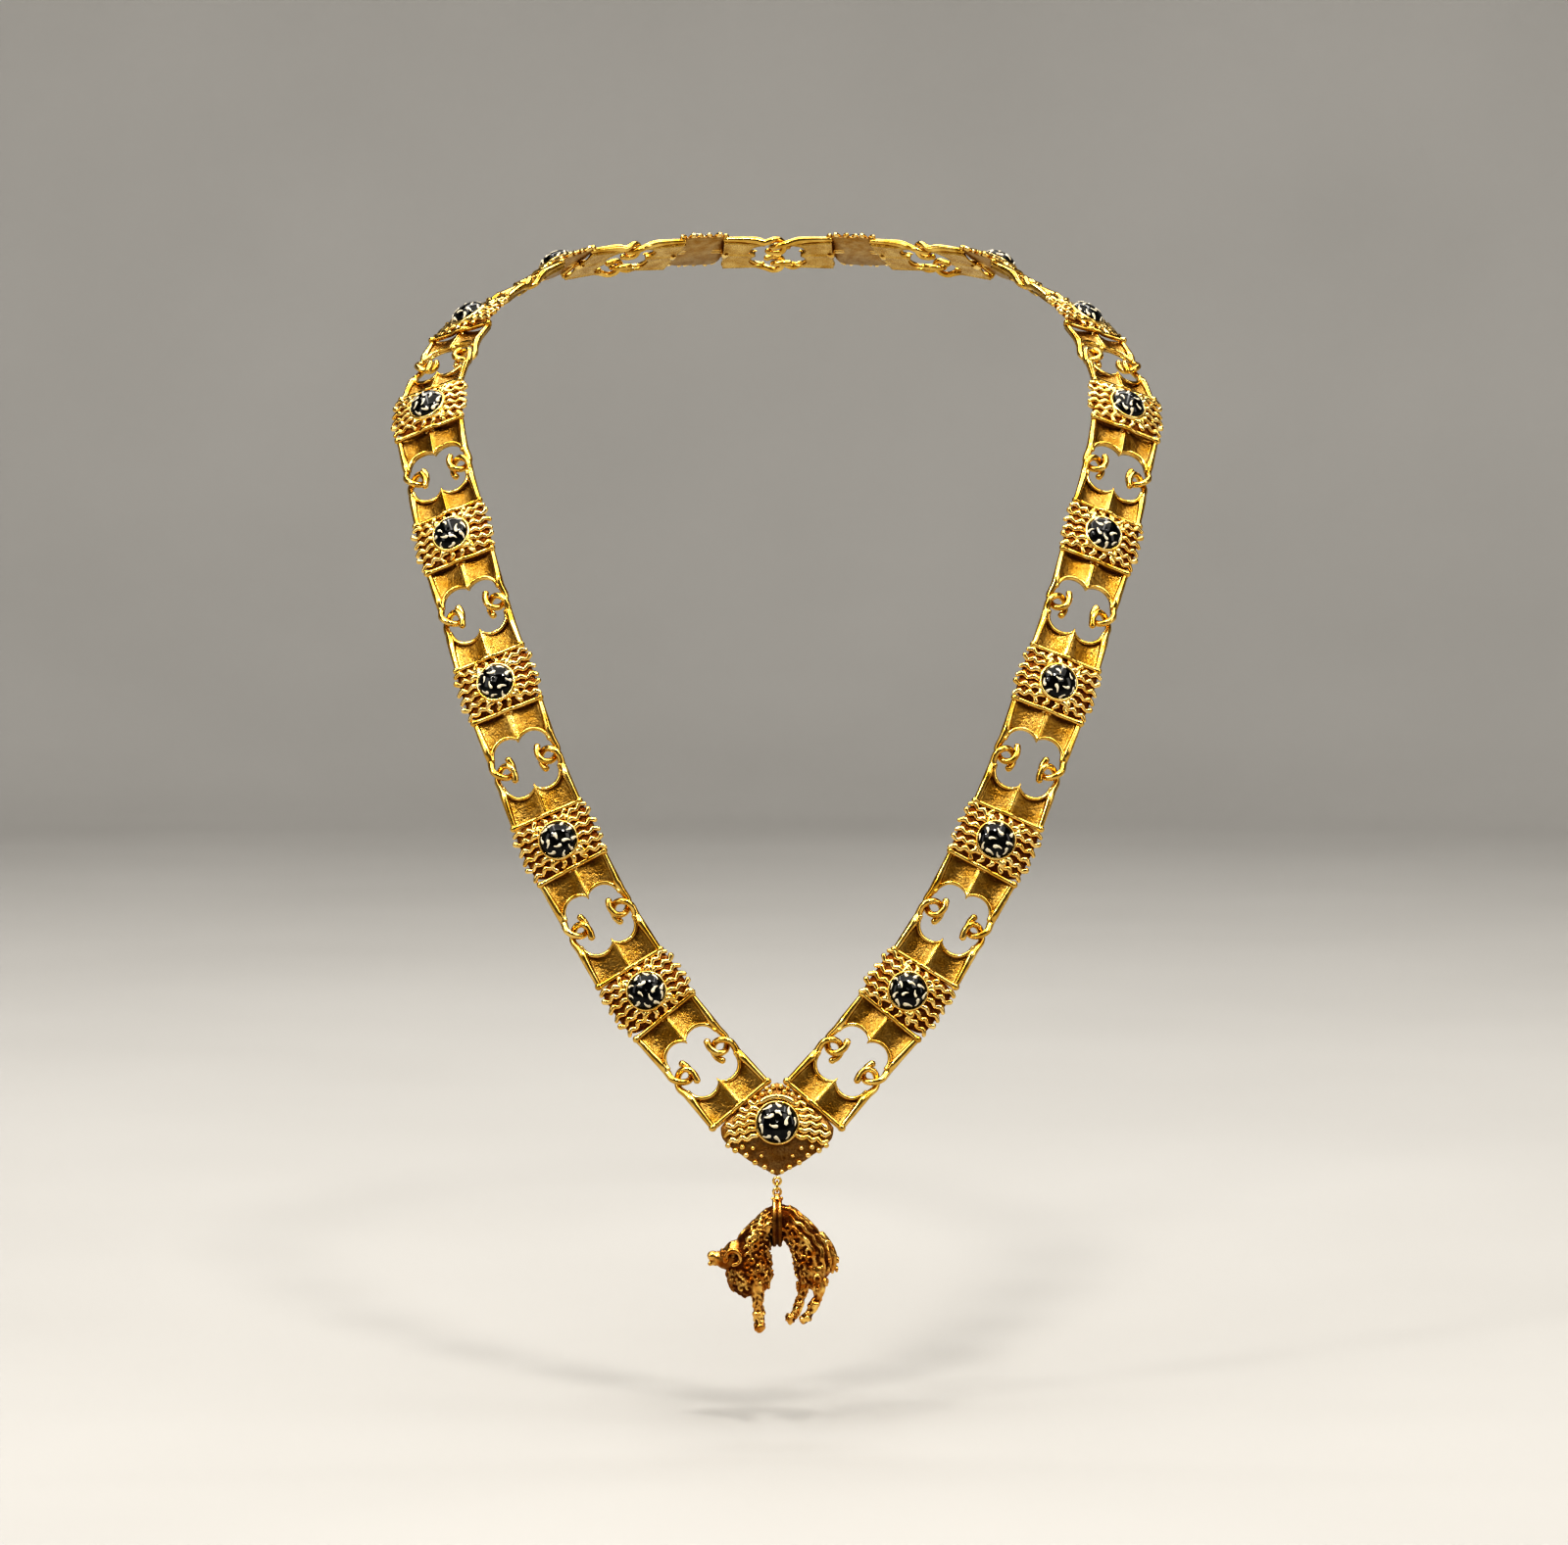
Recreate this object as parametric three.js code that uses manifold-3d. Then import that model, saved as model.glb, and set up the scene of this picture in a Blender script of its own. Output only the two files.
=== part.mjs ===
// A gold livery collar. Flint plates, each with a domed enamel stone and a burst of flame rays, alternate
// with pairs of hooked fire-steel links, and a golden ram's fleece hangs from the larger front plate.
// Millimetres, +Z up, +Y towards the wearer's back. The origin is the middle of the nape.
// Left and right are as seen from the front.
import * as THREE from "three";
import { mergeVertices } from "three/addons/utils/BufferGeometryUtils.js";
import Module from "manifold-3d";

const wasm = await Module();
wasm.setup();

// Driving dimensions
const modulesPerSide = 8;
const hingeGap = 0.35;
const overlap = 0.5;

// One steel link, from its hinge rod to the middle of its pair
const steel = {
  reach: 18.3,
  width: 23,
  rodRadius: 0.55,
  endBar: 0.6,
  shoulder: 13.8,
  back: -0.9,
  rim: 1.0,
  valley: 0.0,
  ridge: 1.2,
  valleyShare: 0.5,
  lobeRadius: 5.0,
  lobeFromMidline: 4.0,
  lobeFromHinge: 13.4,
  lobeSegments: 5,
  notchLength: 2.6,
};

// The wire that leaves each shoulder of a link and hooks round its twin.
// ahead is measured past the middle of the pair, out from the midline, lift towards the front.
const hookWire = { radius: 0.86, sides: 5 };
const hookRoute = [
  { ahead: -4.8, out: 10.2, lift: 0.0 },
  { ahead: -1.6, out: 10.6, lift: 1.1 },
  { ahead: 0.9, out: 9.1, lift: 1.1 },
  { ahead: 1.9, out: 7.0, lift: 0.0 },
  { ahead: 1.0, out: 5.0, lift: -1.1 },
  { ahead: -1.6, out: 4.2, lift: -1.2 },
  { ahead: -4.2, out: 5.0, lift: -0.9 },
];

// One flint plate, measured from its middle: most of its rays run out to its two sides, a few to its ends
const flint = {
  span: 18.4,
  halfLength: 7.8,
  halfWidth: 13.4,
  sideRays: 5,
  sideSpread: 6.8,
  endRays: 2,
  endSpread: 3.6,
  notchShare: 0.86,
  back: 1.0,
  tipTop: 2.2,
  notchTop: 1.75,
};
// The bezel and the domed stone in it, from the foot of the bezel to near the top of the dome
const settingProfile = [
  { radius: 6.3, height: 3.2 },
  { radius: 5.8, height: 4.6 },
  { radius: 3.9, height: 6.8 },
];
const knuckle = { wall: 0.55, width: 3.0, tongue: 3.5 };

// The larger front plate: reach of its rays from the stone's middle, degrees counted up from the right
const frontReach = [
  { angle: -90, reach: 16.4 },
  { angle: -45, reach: 14.2 },
  { angle: -10, reach: 16.8 },
  { angle: 12, reach: 13.4 },
  { angle: 50, reach: 9.9 },
  { angle: 72, reach: 10.6 },
  { angle: 90, reach: 12.6 },
];
const front = { rays: 20, hingeAcross: 11.1, hingeUp: 5.7, chainAngle: 51 };

const frontPlate = { back: -226, up: -268, tilt: 17 };

// Centreline of one half, from the front hinge to the nape, and the way that a link's face looks there.
// facing is degrees round from straight ahead to the outer side, tilt is degrees above level.
const route = [
  { at: "front hinge", across: 11.1, back: -224.3, up: -262.5, facing: 0, tilt: 17 },
  { at: "ribs", across: 41, back: -212, up: -228, facing: 3, tilt: 18 },
  { at: "breast", across: 68, back: -198, up: -182, facing: 8, tilt: 19 },
  { at: "upper breast", across: 87, back: -179, up: -135, facing: 15, tilt: 23 },
  { at: "collarbone", across: 102, back: -151, up: -90, facing: 22, tilt: 32 },
  { at: "shoulder front", across: 111, back: -114, up: -50, facing: 35, tilt: 46 },
  { at: "shoulder top", across: 98, back: -69, up: -22, facing: 68, tilt: 58 },
  { at: "neck side", across: 70, back: -26, up: -5, facing: 120, tilt: 66 },
  { at: "beside the nape", across: 28, back: -2.5, up: 0, facing: 165, tilt: 68 },
  { at: "nape", across: 0, back: 0, up: 0, facing: 180, tilt: 68 },
];

// The rings that the pendant hangs by
const pendantEye = { radius: 1.1, wire: 0.4 };
const jumpRing = { radius: 1.5, wire: 0.4 };
const bail = { halfWidth: 1.9, height: 1.5, depth: 2.2 };
const ringGap = 0.15;
const ringSides = { wire: 5, round: 10 };

// The hanging fleece, measured from the middle of its back: sections of the body from the breast to the rump.
// half is the half height of a section and deep its half depth. balance sets its weight under the rings.
const fleece = { balance: 0.7, sides: 12 };
const bodySections = [
  { x: -7.4, z: -27.4, half: 3.2, deep: 2.8 },
  { x: -8.6, z: -23.6, half: 6.4, deep: 4.5 },
  { x: -9.2, z: -18.2, half: 6.6, deep: 4.9 },
  { x: -8.1, z: -12.2, half: 5.4, deep: 4.5 },
  { x: -4.3, z: -7.9, half: 5.2, deep: 4.2 },
  { x: 0.0, z: -6.6, half: 6.0, deep: 4.2 },
  { x: 4.0, z: -8.0, half: 5.5, deep: 4.2 },
  { x: 8.2, z: -12.0, half: 5.8, deep: 4.5 },
  { x: 10.2, z: -17.0, half: 6.0, deep: 4.6 },
  { x: 9.9, z: -22.0, half: 4.8, deep: 4.0 },
  { x: 9.2, z: -25.0, half: 3.0, deep: 2.8 },
];
const waist = bodySections.find((row) => row.x === 0);
const headSections = [
  { x: -10.0, z: -15.5, half: 4.4, deep: 3.6 },
  { x: -14.0, z: -17.4, half: 4.2, deep: 3.3 },
  { x: -17.2, z: -17.6, half: 2.6, deep: 2.3 },
  { x: -20.0, z: -17.2, half: 1.9, deep: 1.7 },
  { x: -20.9, z: -17.2, half: 1.1, deep: 1.0 },
];
// Limbs of the fleece, in pairs legSide to the front and back of its middle plane
const legSide = 2.3;
const limbSides = 6;
const frontLeg = [
  { x: -6.4, z: -25.5, radius: 2.0 },
  { x: -6.2, z: -30.5, radius: 1.4 },
  { x: -6.1, z: -34.5, radius: 1.35 },
  { x: -5.8, z: -38.6, radius: 1.8 },
];
const innerHindLeg = [
  { x: 8.4, z: -22.5, radius: 2.2 },
  { x: 6.9, z: -27.6, radius: 1.5 },
  { x: 6.3, z: -31.4, radius: 1.3 },
  { x: 3.6, z: -36.9, radius: 1.4 },
];
const outerHindLeg = [
  { x: 11.2, z: -21.0, radius: 2.6 },
  { x: 12.6, z: -26.5, radius: 1.6 },
  { x: 11.8, z: -31.0, radius: 1.3 },
  { x: 8.7, z: -36.0, radius: 1.4 },
];
const tailRoute = [
  { x: 15.0, z: -12.4, radius: 1.9 },
  { x: 16.6, z: -16.8, radius: 1.7 },
  { x: 16.3, z: -21.4, radius: 0.9 },
];
const horn = {
  x: -14.2,
  z: -16.8,
  side: 4.0,
  radius: 2.75,
  innerRadius: 1.9,
  wire: 0.95,
  tipWire: 0.5,
  startAngle: 200,
  turn: 300,
  steps: 8,
};
const band = { halfWidth: 1.1, wall: 0.7, depthGap: 0.5, heightGap: 0.6, segments: 8 };

const gold = new THREE.MeshStandardMaterial({ color: 0xc9962e, metalness: 1, roughness: 0.28 });
const redGold = new THREE.MeshStandardMaterial({ color: 0xb87f2c, metalness: 1, roughness: 0.36 });

const vector = (x, y, z) => new THREE.Vector3(x, y, z);
const radians = THREE.MathUtils.degToRad;

// Collects the points and triangles of one closed surface, ring by ring.
// A ring turns left round the way that the surface runs.
class Skin {
  points = [];
  faces = [];

  ring(points) {
    const first = this.points.length;
    this.points.push(...points);
    return points.map((_, i) => first + i);
  }

  strip(low, high) {
    low.forEach((corner, i) => {
      const next = (i + 1) % low.length;
      this.faces.push(corner, low[next], high[next]);
      this.faces.push(corner, high[next], high[i]);
    });
  }

  cap(ring, isStart) {
    const middle = vector(0, 0, 0);
    ring.forEach((corner) => middle.addScaledVector(this.points[corner], 1 / ring.length));
    const [centre] = this.ring([middle]);
    ring.forEach((corner, i) => {
      const next = ring[(i + 1) % ring.length];
      this.faces.push(centre, ...(isStart ? [next, corner] : [corner, next]));
    });
  }

  geometry() {
    return new THREE.BufferGeometry().setFromPoints(this.points).setIndex(this.faces);
  }
}

// Closed geometry through rings of equal count
function loft(rings) {
  const skin = new Skin();
  const laid = rings.map((ring) => skin.ring(ring));
  skin.cap(laid[0], true);
  laid.slice(1).forEach((ring, i) => skin.strip(laid[i], ring));
  skin.cap(laid.at(-1), false);
  return skin.geometry();
}

// A geometry as a solid for joining and cutting
function solid(geometry) {
  const bare = geometry.clone();
  bare.deleteAttribute("normal");
  bare.deleteAttribute("uv");
  const merged = mergeVertices(bare, 1e-4);
  return new wasm.Manifold(
    new wasm.Mesh({
      numProp: 3,
      vertProperties: merged.attributes.position.array,
      triVerts: new Uint32Array(merged.index.array),
    }),
  );
}

// A solid back as a geometry that can be drawn
function geometryOf(body) {
  const mesh = body.getMesh();
  const geometry = new THREE.BufferGeometry();
  geometry.setAttribute("position", new THREE.BufferAttribute(mesh.vertProperties, 3));
  geometry.setIndex(new THREE.BufferAttribute(mesh.triVerts, 1));
  geometry.computeVertexNormals();
  return geometry;
}

const joined = (pieces) => pieces.map(solid).reduce((whole, piece) => whole.add(piece));

// A round bar through points, each with its own radius. flat gives it another half thickness front to back.
function roundBar(points, radii, sides, flat = radii) {
  const line = new THREE.CatmullRomCurve3(points);
  const steps = points.length - 1;
  const tangents = points.map((_, i) => line.getTangent(i / steps));
  let normal = vector(0, 1, 0);
  if (Math.abs(normal.dot(tangents[0])) > 0.9) normal = vector(0, 0, 1);
  const rings = points.map((point, i) => {
    const along = tangents[i];
    normal = normal.clone().addScaledVector(along, -normal.dot(along)).normalize();
    const other = along.clone().cross(normal);
    return Array.from({ length: sides }, (_, k) => {
      const turn = (2 * Math.PI * k) / sides;
      return point
        .clone()
        .addScaledVector(normal, flat[i] * Math.cos(turn))
        .addScaledVector(other, radii[i] * Math.sin(turn));
    });
  });
  return loft(rings);
}

// A steel link: x runs from the hinge to the middle of the pair, y across, z to the front
function steelLink(hand) {
  const half = steel.width / 2;
  const lobeOuter = steel.lobeFromMidline + steel.lobeRadius;
  const cusp = Math.acos(-steel.lobeFromMidline / steel.lobeRadius);
  const outline = new THREE.Shape();
  outline.moveTo(-steel.endBar, -half);
  outline.lineTo(-steel.endBar, half);
  outline.lineTo(steel.shoulder, half);
  outline.lineTo(steel.shoulder, lobeOuter);
  for (const side of [1, -1]) {
    for (let i = 0; i <= steel.lobeSegments; i++) {
      const share = side > 0 ? i / steel.lobeSegments : 1 - i / steel.lobeSegments;
      const turn = cusp * share;
      const x = steel.lobeFromHinge - steel.lobeRadius * Math.sin(turn);
      const y = side * (steel.lobeFromMidline + steel.lobeRadius * Math.cos(turn));
      const repeatsCusp = side < 0 && i === 0;
      if (!repeatsCusp) outline.lineTo(x, y);
    }
  }
  outline.lineTo(steel.shoulder, -lobeOuter);
  outline.lineTo(steel.shoulder, -half);
  const blankHeight = 2 * (steel.ridge + overlap);
  const blank = new THREE.ExtrudeGeometry(outline, { depth: blankHeight, bevelEnabled: false });
  blank.translate(0, 0, -blankHeight / 2);

  // Across the plate: a rim at each side, a scooped valley in each half and a ridge down the middle
  const across = new THREE.Shape([
    new THREE.Vector2(-half - overlap, steel.back),
    new THREE.Vector2(half + overlap, steel.back),
    new THREE.Vector2(half + overlap, steel.rim),
    new THREE.Vector2(half, steel.rim),
    new THREE.Vector2(half * steel.valleyShare, steel.valley),
    new THREE.Vector2(0, steel.ridge),
    new THREE.Vector2(-half * steel.valleyShare, steel.valley),
    new THREE.Vector2(-half, steel.rim),
    new THREE.Vector2(-half - overlap, steel.rim),
  ]);
  const scoop = new THREE.ExtrudeGeometry(across, { depth: 2 * steel.reach, bevelEnabled: false });
  scoop.applyMatrix4(new THREE.Matrix4().makeBasis(vector(0, 1, 0), vector(0, 0, 1), vector(1, 0, 0)));
  scoop.translate(-steel.reach, 0, 0);

  const notchWidth = knuckle.width + 2 * hingeGap;
  const notch = new THREE.BoxGeometry(2 * steel.notchLength, notchWidth, blankHeight);
  const rodLength = notchWidth + 2 * overlap;
  const rod = new THREE.CylinderGeometry(steel.rodRadius, steel.rodRadius, rodLength, hookWire.sides);
  const hooks = [1, -1].map((side) => {
    const points = hookRoute.map(({ ahead, out, lift }) =>
      vector(steel.reach + ahead, side * out, -side * hand * lift),
    );
    return roundBar(points, points.map(() => hookWire.radius), hookWire.sides);
  });
  return solid(blank).intersect(solid(scoop)).subtract(solid(notch)).add(joined([rod, ...hooks]));
}

// A burst of flame rays that rises to a domed stone in its bezel, as one solid.
// tips are the ends of the rays in order, turning left round the stone.
function rayBurst(tips, firstTurn) {
  const rays = tips.length;
  const outline = tips.flatMap((tip, i) => {
    const next = tips[(i + 1) % rays];
    return [tip, tip.clone().add(next).multiplyScalar(flint.notchShare / 2)];
  });
  const isTip = (i) => i % 2 === 0;
  const skin = new Skin();
  const back = skin.ring(outline.map(({ x, y }) => vector(x, y, flint.back)));
  const edge = skin.ring(
    outline.map(({ x, y }, i) => vector(x, y, isTip(i) ? flint.tipTop : flint.notchTop)),
  );
  skin.cap(back, true);
  skin.strip(back, edge);

  const rings = settingProfile.map(({ radius, height }) =>
    skin.ring(
      tips.map((_, ray) => {
        const turn = firstTurn + (2 * Math.PI * ray) / rays;
        return vector(radius * Math.cos(turn), radius * Math.sin(turn), height);
      }),
    ),
  );
  const [foot] = rings;
  foot.forEach((inner, ray) => {
    const before = edge[(2 * ray + 2 * rays - 1) % (2 * rays)];
    const tip = edge[2 * ray];
    const after = edge[2 * ray + 1];
    const nextInner = foot[(ray + 1) % rays];
    skin.faces.push(before, tip, inner, tip, after, inner, after, nextInner, inner);
  });
  rings.slice(1).forEach((ring, i) => skin.strip(rings[i], ring));
  skin.cap(rings.at(-1), false);
  return skin.geometry();
}

// A closed staple behind a plate that holds a hinge rod, its bore along y.
// Its tongue runs back along -x under the plate.
function hingeLoop() {
  const bore = steel.rodRadius + hingeGap;
  const outer = bore + knuckle.wall;
  const corner = (x, z) => new THREE.Vector2(x, z);
  const side = new THREE.Shape([
    corner(outer, -outer),
    corner(outer, outer),
    corner(-knuckle.tongue, outer),
    corner(-knuckle.tongue, bore),
    corner(-outer, bore),
    corner(-outer, -outer),
  ]);
  const hole = [corner(-bore, -bore), corner(bore, -bore), corner(bore, bore), corner(-bore, bore)];
  side.holes.push(new THREE.Path(hole));
  const loop = new THREE.ExtrudeGeometry(side, { depth: knuckle.width, bevelEnabled: false });
  return loop.rotateX(Math.PI / 2).translate(0, knuckle.width / 2, 0);
}

// A flint plate: x runs along the collar, y across, z to the front
function flintPlate() {
  const evenly = (count, spread) =>
    Array.from({ length: count }, (_, i) => spread * ((2 * i) / (count - 1) - 1));
  const tips = [1, -1].flatMap((half) => [
    ...evenly(flint.endRays, flint.endSpread).map((y) => new THREE.Vector2(flint.halfLength, y)),
    ...evenly(flint.sideRays, flint.sideSpread).map((x) => new THREE.Vector2(-x, flint.halfWidth)),
  ].map((tip) => tip.multiplyScalar(half)));
  const firstTurn = -Math.PI / tips.length;
  const loops = [0, Math.PI].map((turn) => hingeLoop().translate(flint.span / 2, 0, 0).rotateZ(turn));
  return joined([rayBurst(tips, firstTurn), ...loops]);
}

// The front plate: x to the right, y up, z to the front
function frontFlint() {
  const reachAt = (turn) => {
    const angle = THREE.MathUtils.radToDeg(Math.asin(Math.sin(turn)));
    const next = Math.max(1, frontReach.findIndex((row) => row.angle >= angle - 1e-6));
    const [low, high] = [frontReach[next - 1], frontReach[next]];
    const share = (angle - low.angle) / (high.angle - low.angle);
    return THREE.MathUtils.lerp(low.reach, high.reach, share);
  };
  const tips = Array.from({ length: front.rays }, (_, ray) => {
    const turn = (2 * Math.PI * ray) / front.rays;
    return new THREE.Vector2(Math.cos(turn), Math.sin(turn)).multiplyScalar(reachAt(turn));
  });
  const loops = [1, -1].map((side) => {
    const turn = side > 0 ? radians(front.chainAngle) : Math.PI - radians(front.chainAngle);
    return hingeLoop().rotateZ(turn).translate(side * front.hingeAcross, front.hingeUp, 0);
  });
  return joined([rayBurst(tips, 0), ...loops]);
}

// A plain wire ring with its hole along the given axis
function wireRing({ radius, wire }, holeAxis) {
  const ring = new THREE.TorusGeometry(radius, wire, ringSides.wire, ringSides.round);
  if (holeAxis === "x") ring.rotateY(Math.PI / 2);
  if (holeAxis === "y") ring.rotateX(Math.PI / 2);
  return ring;
}

const pointsOf = (rows, y = 0) => rows.map((row) => vector(row.x, y, row.z));
const column = (rows, name) => rows.map((row) => row[name]);
const limb = (rows, y = 0) => roundBar(pointsOf(rows, y), column(rows, "radius"), limbSides);
const trunk = (rows) =>
  roundBar(pointsOf(rows), column(rows, "half"), fleece.sides, column(rows, "deep"));

// A ram's horn curled round the ear on one side of the head
function curledHorn(side) {
  const shares = Array.from({ length: horn.steps + 1 }, (_, i) => i / horn.steps);
  const points = shares.map((share) => {
    const turn = radians(horn.startAngle - horn.turn * share);
    const radius = THREE.MathUtils.lerp(horn.radius, horn.innerRadius, share);
    return vector(horn.x + radius * Math.cos(turn), side * horn.side, horn.z + radius * Math.sin(turn));
  });
  const radii = shares.map((share) => THREE.MathUtils.lerp(horn.wire, horn.tipWire, share));
  return roundBar(points, radii, limbSides);
}

function ramFleece() {
  const limbs = [1, -1].flatMap((side) => [limb(frontLeg, side * legSide), curledHorn(side)]);
  const hind = [limb(innerHindLeg, legSide), limb(outerHindLeg, -legSide)];
  return joined([trunk(bodySections), trunk(headSections), limb(tailRoute), ...limbs, ...hind]);
}

// The strap round the fleece's middle, its ring facing along x
function strapRing() {
  const halfDeep = waist.deep + band.depthGap;
  const halfTall = waist.half + band.heightGap;
  const outline = new THREE.Shape();
  outline.absellipse(0, 0, halfDeep + band.wall, halfTall + band.wall, 0, 2 * Math.PI);
  const inside = new THREE.Path();
  inside.absellipse(0, 0, halfDeep, halfTall, 0, 2 * Math.PI);
  outline.holes.push(inside);
  const options = { depth: 2 * band.halfWidth, bevelEnabled: false, curveSegments: band.segments };
  const ring = new THREE.ExtrudeGeometry(outline, options);
  ring.applyMatrix4(new THREE.Matrix4().makeBasis(vector(0, 1, 0), vector(0, 0, 1), vector(1, 0, 0)));
  return ring.translate(-band.halfWidth, 0, 0);
}

// Centreline of one half, and the way that a link's face looks along it. side is -1 or 1 across.
const halfLine = (side) =>
  new THREE.CatmullRomCurve3(route.map((row) => vector(side * row.across, row.back, row.up)));
const halfFaces = (side) =>
  new THREE.CatmullRomCurve3(
    route.map((row) => {
      const level = Math.cos(radians(row.tilt));
      const outer = side * Math.sin(radians(row.facing)) * level;
      return vector(outer, -Math.cos(radians(row.facing)) * level, Math.sin(radians(row.tilt)));
    }),
  );

const collar = new THREE.Group();
function addPiece(name, geometry, material, parent = collar) {
  const mesh = new THREE.Mesh(geometry, material);
  mesh.name = name;
  parent.add(mesh);
  return mesh;
}

// Lays the links of one half along its centreline, front to nape. The two links of a pair share one face.
const plateGeometry = geometryOf(flintPlate());
const linkGeometry = { left: geometryOf(steelLink(1)), right: geometryOf(steelLink(-1)) };
function layHalf(side, sideName) {
  const line = halfLine(side);
  line.arcLengthDivisions = 2000;
  const faces = halfFaces(side);
  const nominal = modulesPerSide * (2 * steel.reach + flint.span) + steel.reach;
  const share = (distance) => Math.min(1, distance / nominal);
  const lay = (name, geometry, from, to, faceAt, originShare) => {
    const start = line.getPointAt(share(from));
    const end = line.getPointAt(share(to));
    const along = end.clone().sub(start).normalize();
    const face = faces.getPoint(line.getUtoTmapping(share(faceAt)));
    face.addScaledVector(along, -face.dot(along)).normalize();
    if (originShare === 1) along.negate();
    const across = face.clone().cross(along);
    const piece = addPiece(name, geometry, gold);
    piece.applyMatrix4(new THREE.Matrix4().makeBasis(along, across, face));
    piece.position.lerpVectors(start, end, originShare);
  };
  let hinge = 0;
  for (let module = 1; module <= modulesPerSide; module++) {
    const hook = hinge + steel.reach;
    const nextHinge = hook + steel.reach;
    const flintEnd = nextHinge + flint.span;
    const link = linkGeometry[sideName];
    lay(`steel_${sideName}_${2 * module - 1}`, link, hinge, hook, hook, 0);
    lay(`steel_${sideName}_${2 * module}`, link, hook, nextHinge, hook, 1);
    lay(`flint_${sideName}_${module}`, plateGeometry, nextHinge, flintEnd, (nextHinge + flintEnd) / 2, 0.5);
    hinge = flintEnd;
  }
  // The two links that meet at the nape are twins, so that they hook together
  const nape = hinge + steel.reach;
  lay(`steel_${sideName}_${2 * modulesPerSide + 1}`, linkGeometry.left, hinge, nape, nape, 0);
}
layHalf(-1, "left");
layHalf(1, "right");

// The front plate leans with the breast
const leaning = new THREE.Group();
leaning.position.set(0, frontPlate.back, frontPlate.up);
leaning.rotation.x = Math.PI / 2 - radians(frontPlate.tilt);
collar.add(leaning);

// The pendant hangs plumb below the plate's foot
const footReach = frontReach[0].reach;
const foot = vector(0, -footReach, (flint.back + flint.tipTop) / 2);
leaning.updateMatrix();
const eyeCentre = foot.clone().applyMatrix4(leaning.matrix);
eyeCentre.z -= pendantEye.radius;
const eyeInPlate = eyeCentre.clone().applyMatrix4(leaning.matrix.clone().invert());
const eye = wireRing(pendantEye, "y").rotateX(-leaning.rotation.x).translate(...eyeInPlate.toArray());
addPiece("flint_front", geometryOf(frontFlint().add(solid(eye))), gold, leaning);

const hung = new THREE.Group();
hung.position.copy(eyeCentre);
collar.add(hung);
const ringTop = -(pendantEye.radius - pendantEye.wire - jumpRing.wire - ringGap);
const ringMiddle = ringTop - jumpRing.radius;
addPiece("jump_ring", wireRing(jumpRing, "x"), gold, hung).position.z = ringMiddle;

// Under the ring: the band's eye, its bar, the strap and the fleece in it
const bailTop = ringMiddle - jumpRing.radius + jumpRing.wire + pendantEye.wire + ringGap;
const bailMiddle = bailTop - pendantEye.radius;
const barMiddle = bailMiddle - pendantEye.radius - bail.height / 2;
const strapMiddle = barMiddle - bail.height / 2 - waist.half - band.heightGap;
const bailEye = wireRing(pendantEye, "y").translate(0, 0, bailMiddle);
const bar = new THREE.BoxGeometry(2 * bail.halfWidth, bail.depth, bail.height).translate(0, 0, barMiddle);
const strap = strapRing().translate(0, 0, strapMiddle);
addPiece("belly_band", geometryOf(joined([bailEye, bar, strap])), redGold, hung);
const ram = addPiece("fleece", geometryOf(ramFleece()), redGold, hung);
ram.position.set(fleece.balance, 0, strapMiddle - waist.z);

export default collar;
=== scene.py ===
import math
import random

import bmesh
import bpy
import numpy as np
from mathutils import Matrix, Vector, noise
from mathutils.bvhtree import BVHTree


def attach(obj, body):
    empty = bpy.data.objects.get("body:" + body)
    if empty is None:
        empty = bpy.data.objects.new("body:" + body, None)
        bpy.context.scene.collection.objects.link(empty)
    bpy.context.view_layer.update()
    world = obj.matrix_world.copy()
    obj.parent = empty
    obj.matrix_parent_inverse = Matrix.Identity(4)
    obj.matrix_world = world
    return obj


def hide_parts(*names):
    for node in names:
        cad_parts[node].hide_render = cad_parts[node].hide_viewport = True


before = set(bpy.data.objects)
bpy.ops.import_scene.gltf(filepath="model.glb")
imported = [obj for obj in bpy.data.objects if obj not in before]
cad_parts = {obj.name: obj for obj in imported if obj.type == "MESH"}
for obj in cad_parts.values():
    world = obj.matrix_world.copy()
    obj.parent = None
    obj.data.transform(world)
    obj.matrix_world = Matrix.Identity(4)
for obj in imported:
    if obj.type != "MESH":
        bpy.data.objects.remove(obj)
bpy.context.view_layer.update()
scene = bpy.context.scene
mm = 0.001
print("frame loaded:", len(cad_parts), "nodes")


# Small helpers for numbers and tables

def lerp(low, high, share):
    return low + (high - low) * share


def smooth(low, high, value):
    share = min(1, max(0, (value - low) / (high - low)))
    return share * share * (3 - 2 * share)


def within(margin, share):
    return smooth(0, margin, share) * smooth(1, 1 - margin, share)


def turns(count):
    return [2 * math.pi * step / count for step in range(count)]


def shares(count):
    return [step / count for step in range(count + 1)]


def spreads(count):
    return [2 * step / (count - 1) - 1 for step in range(count)]


def namedRows(names, *rows):
    return [dict(zip(names.split(), row)) for row in rows]


def columnOf(rows, name):
    return [row[name] for row in rows]


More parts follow.
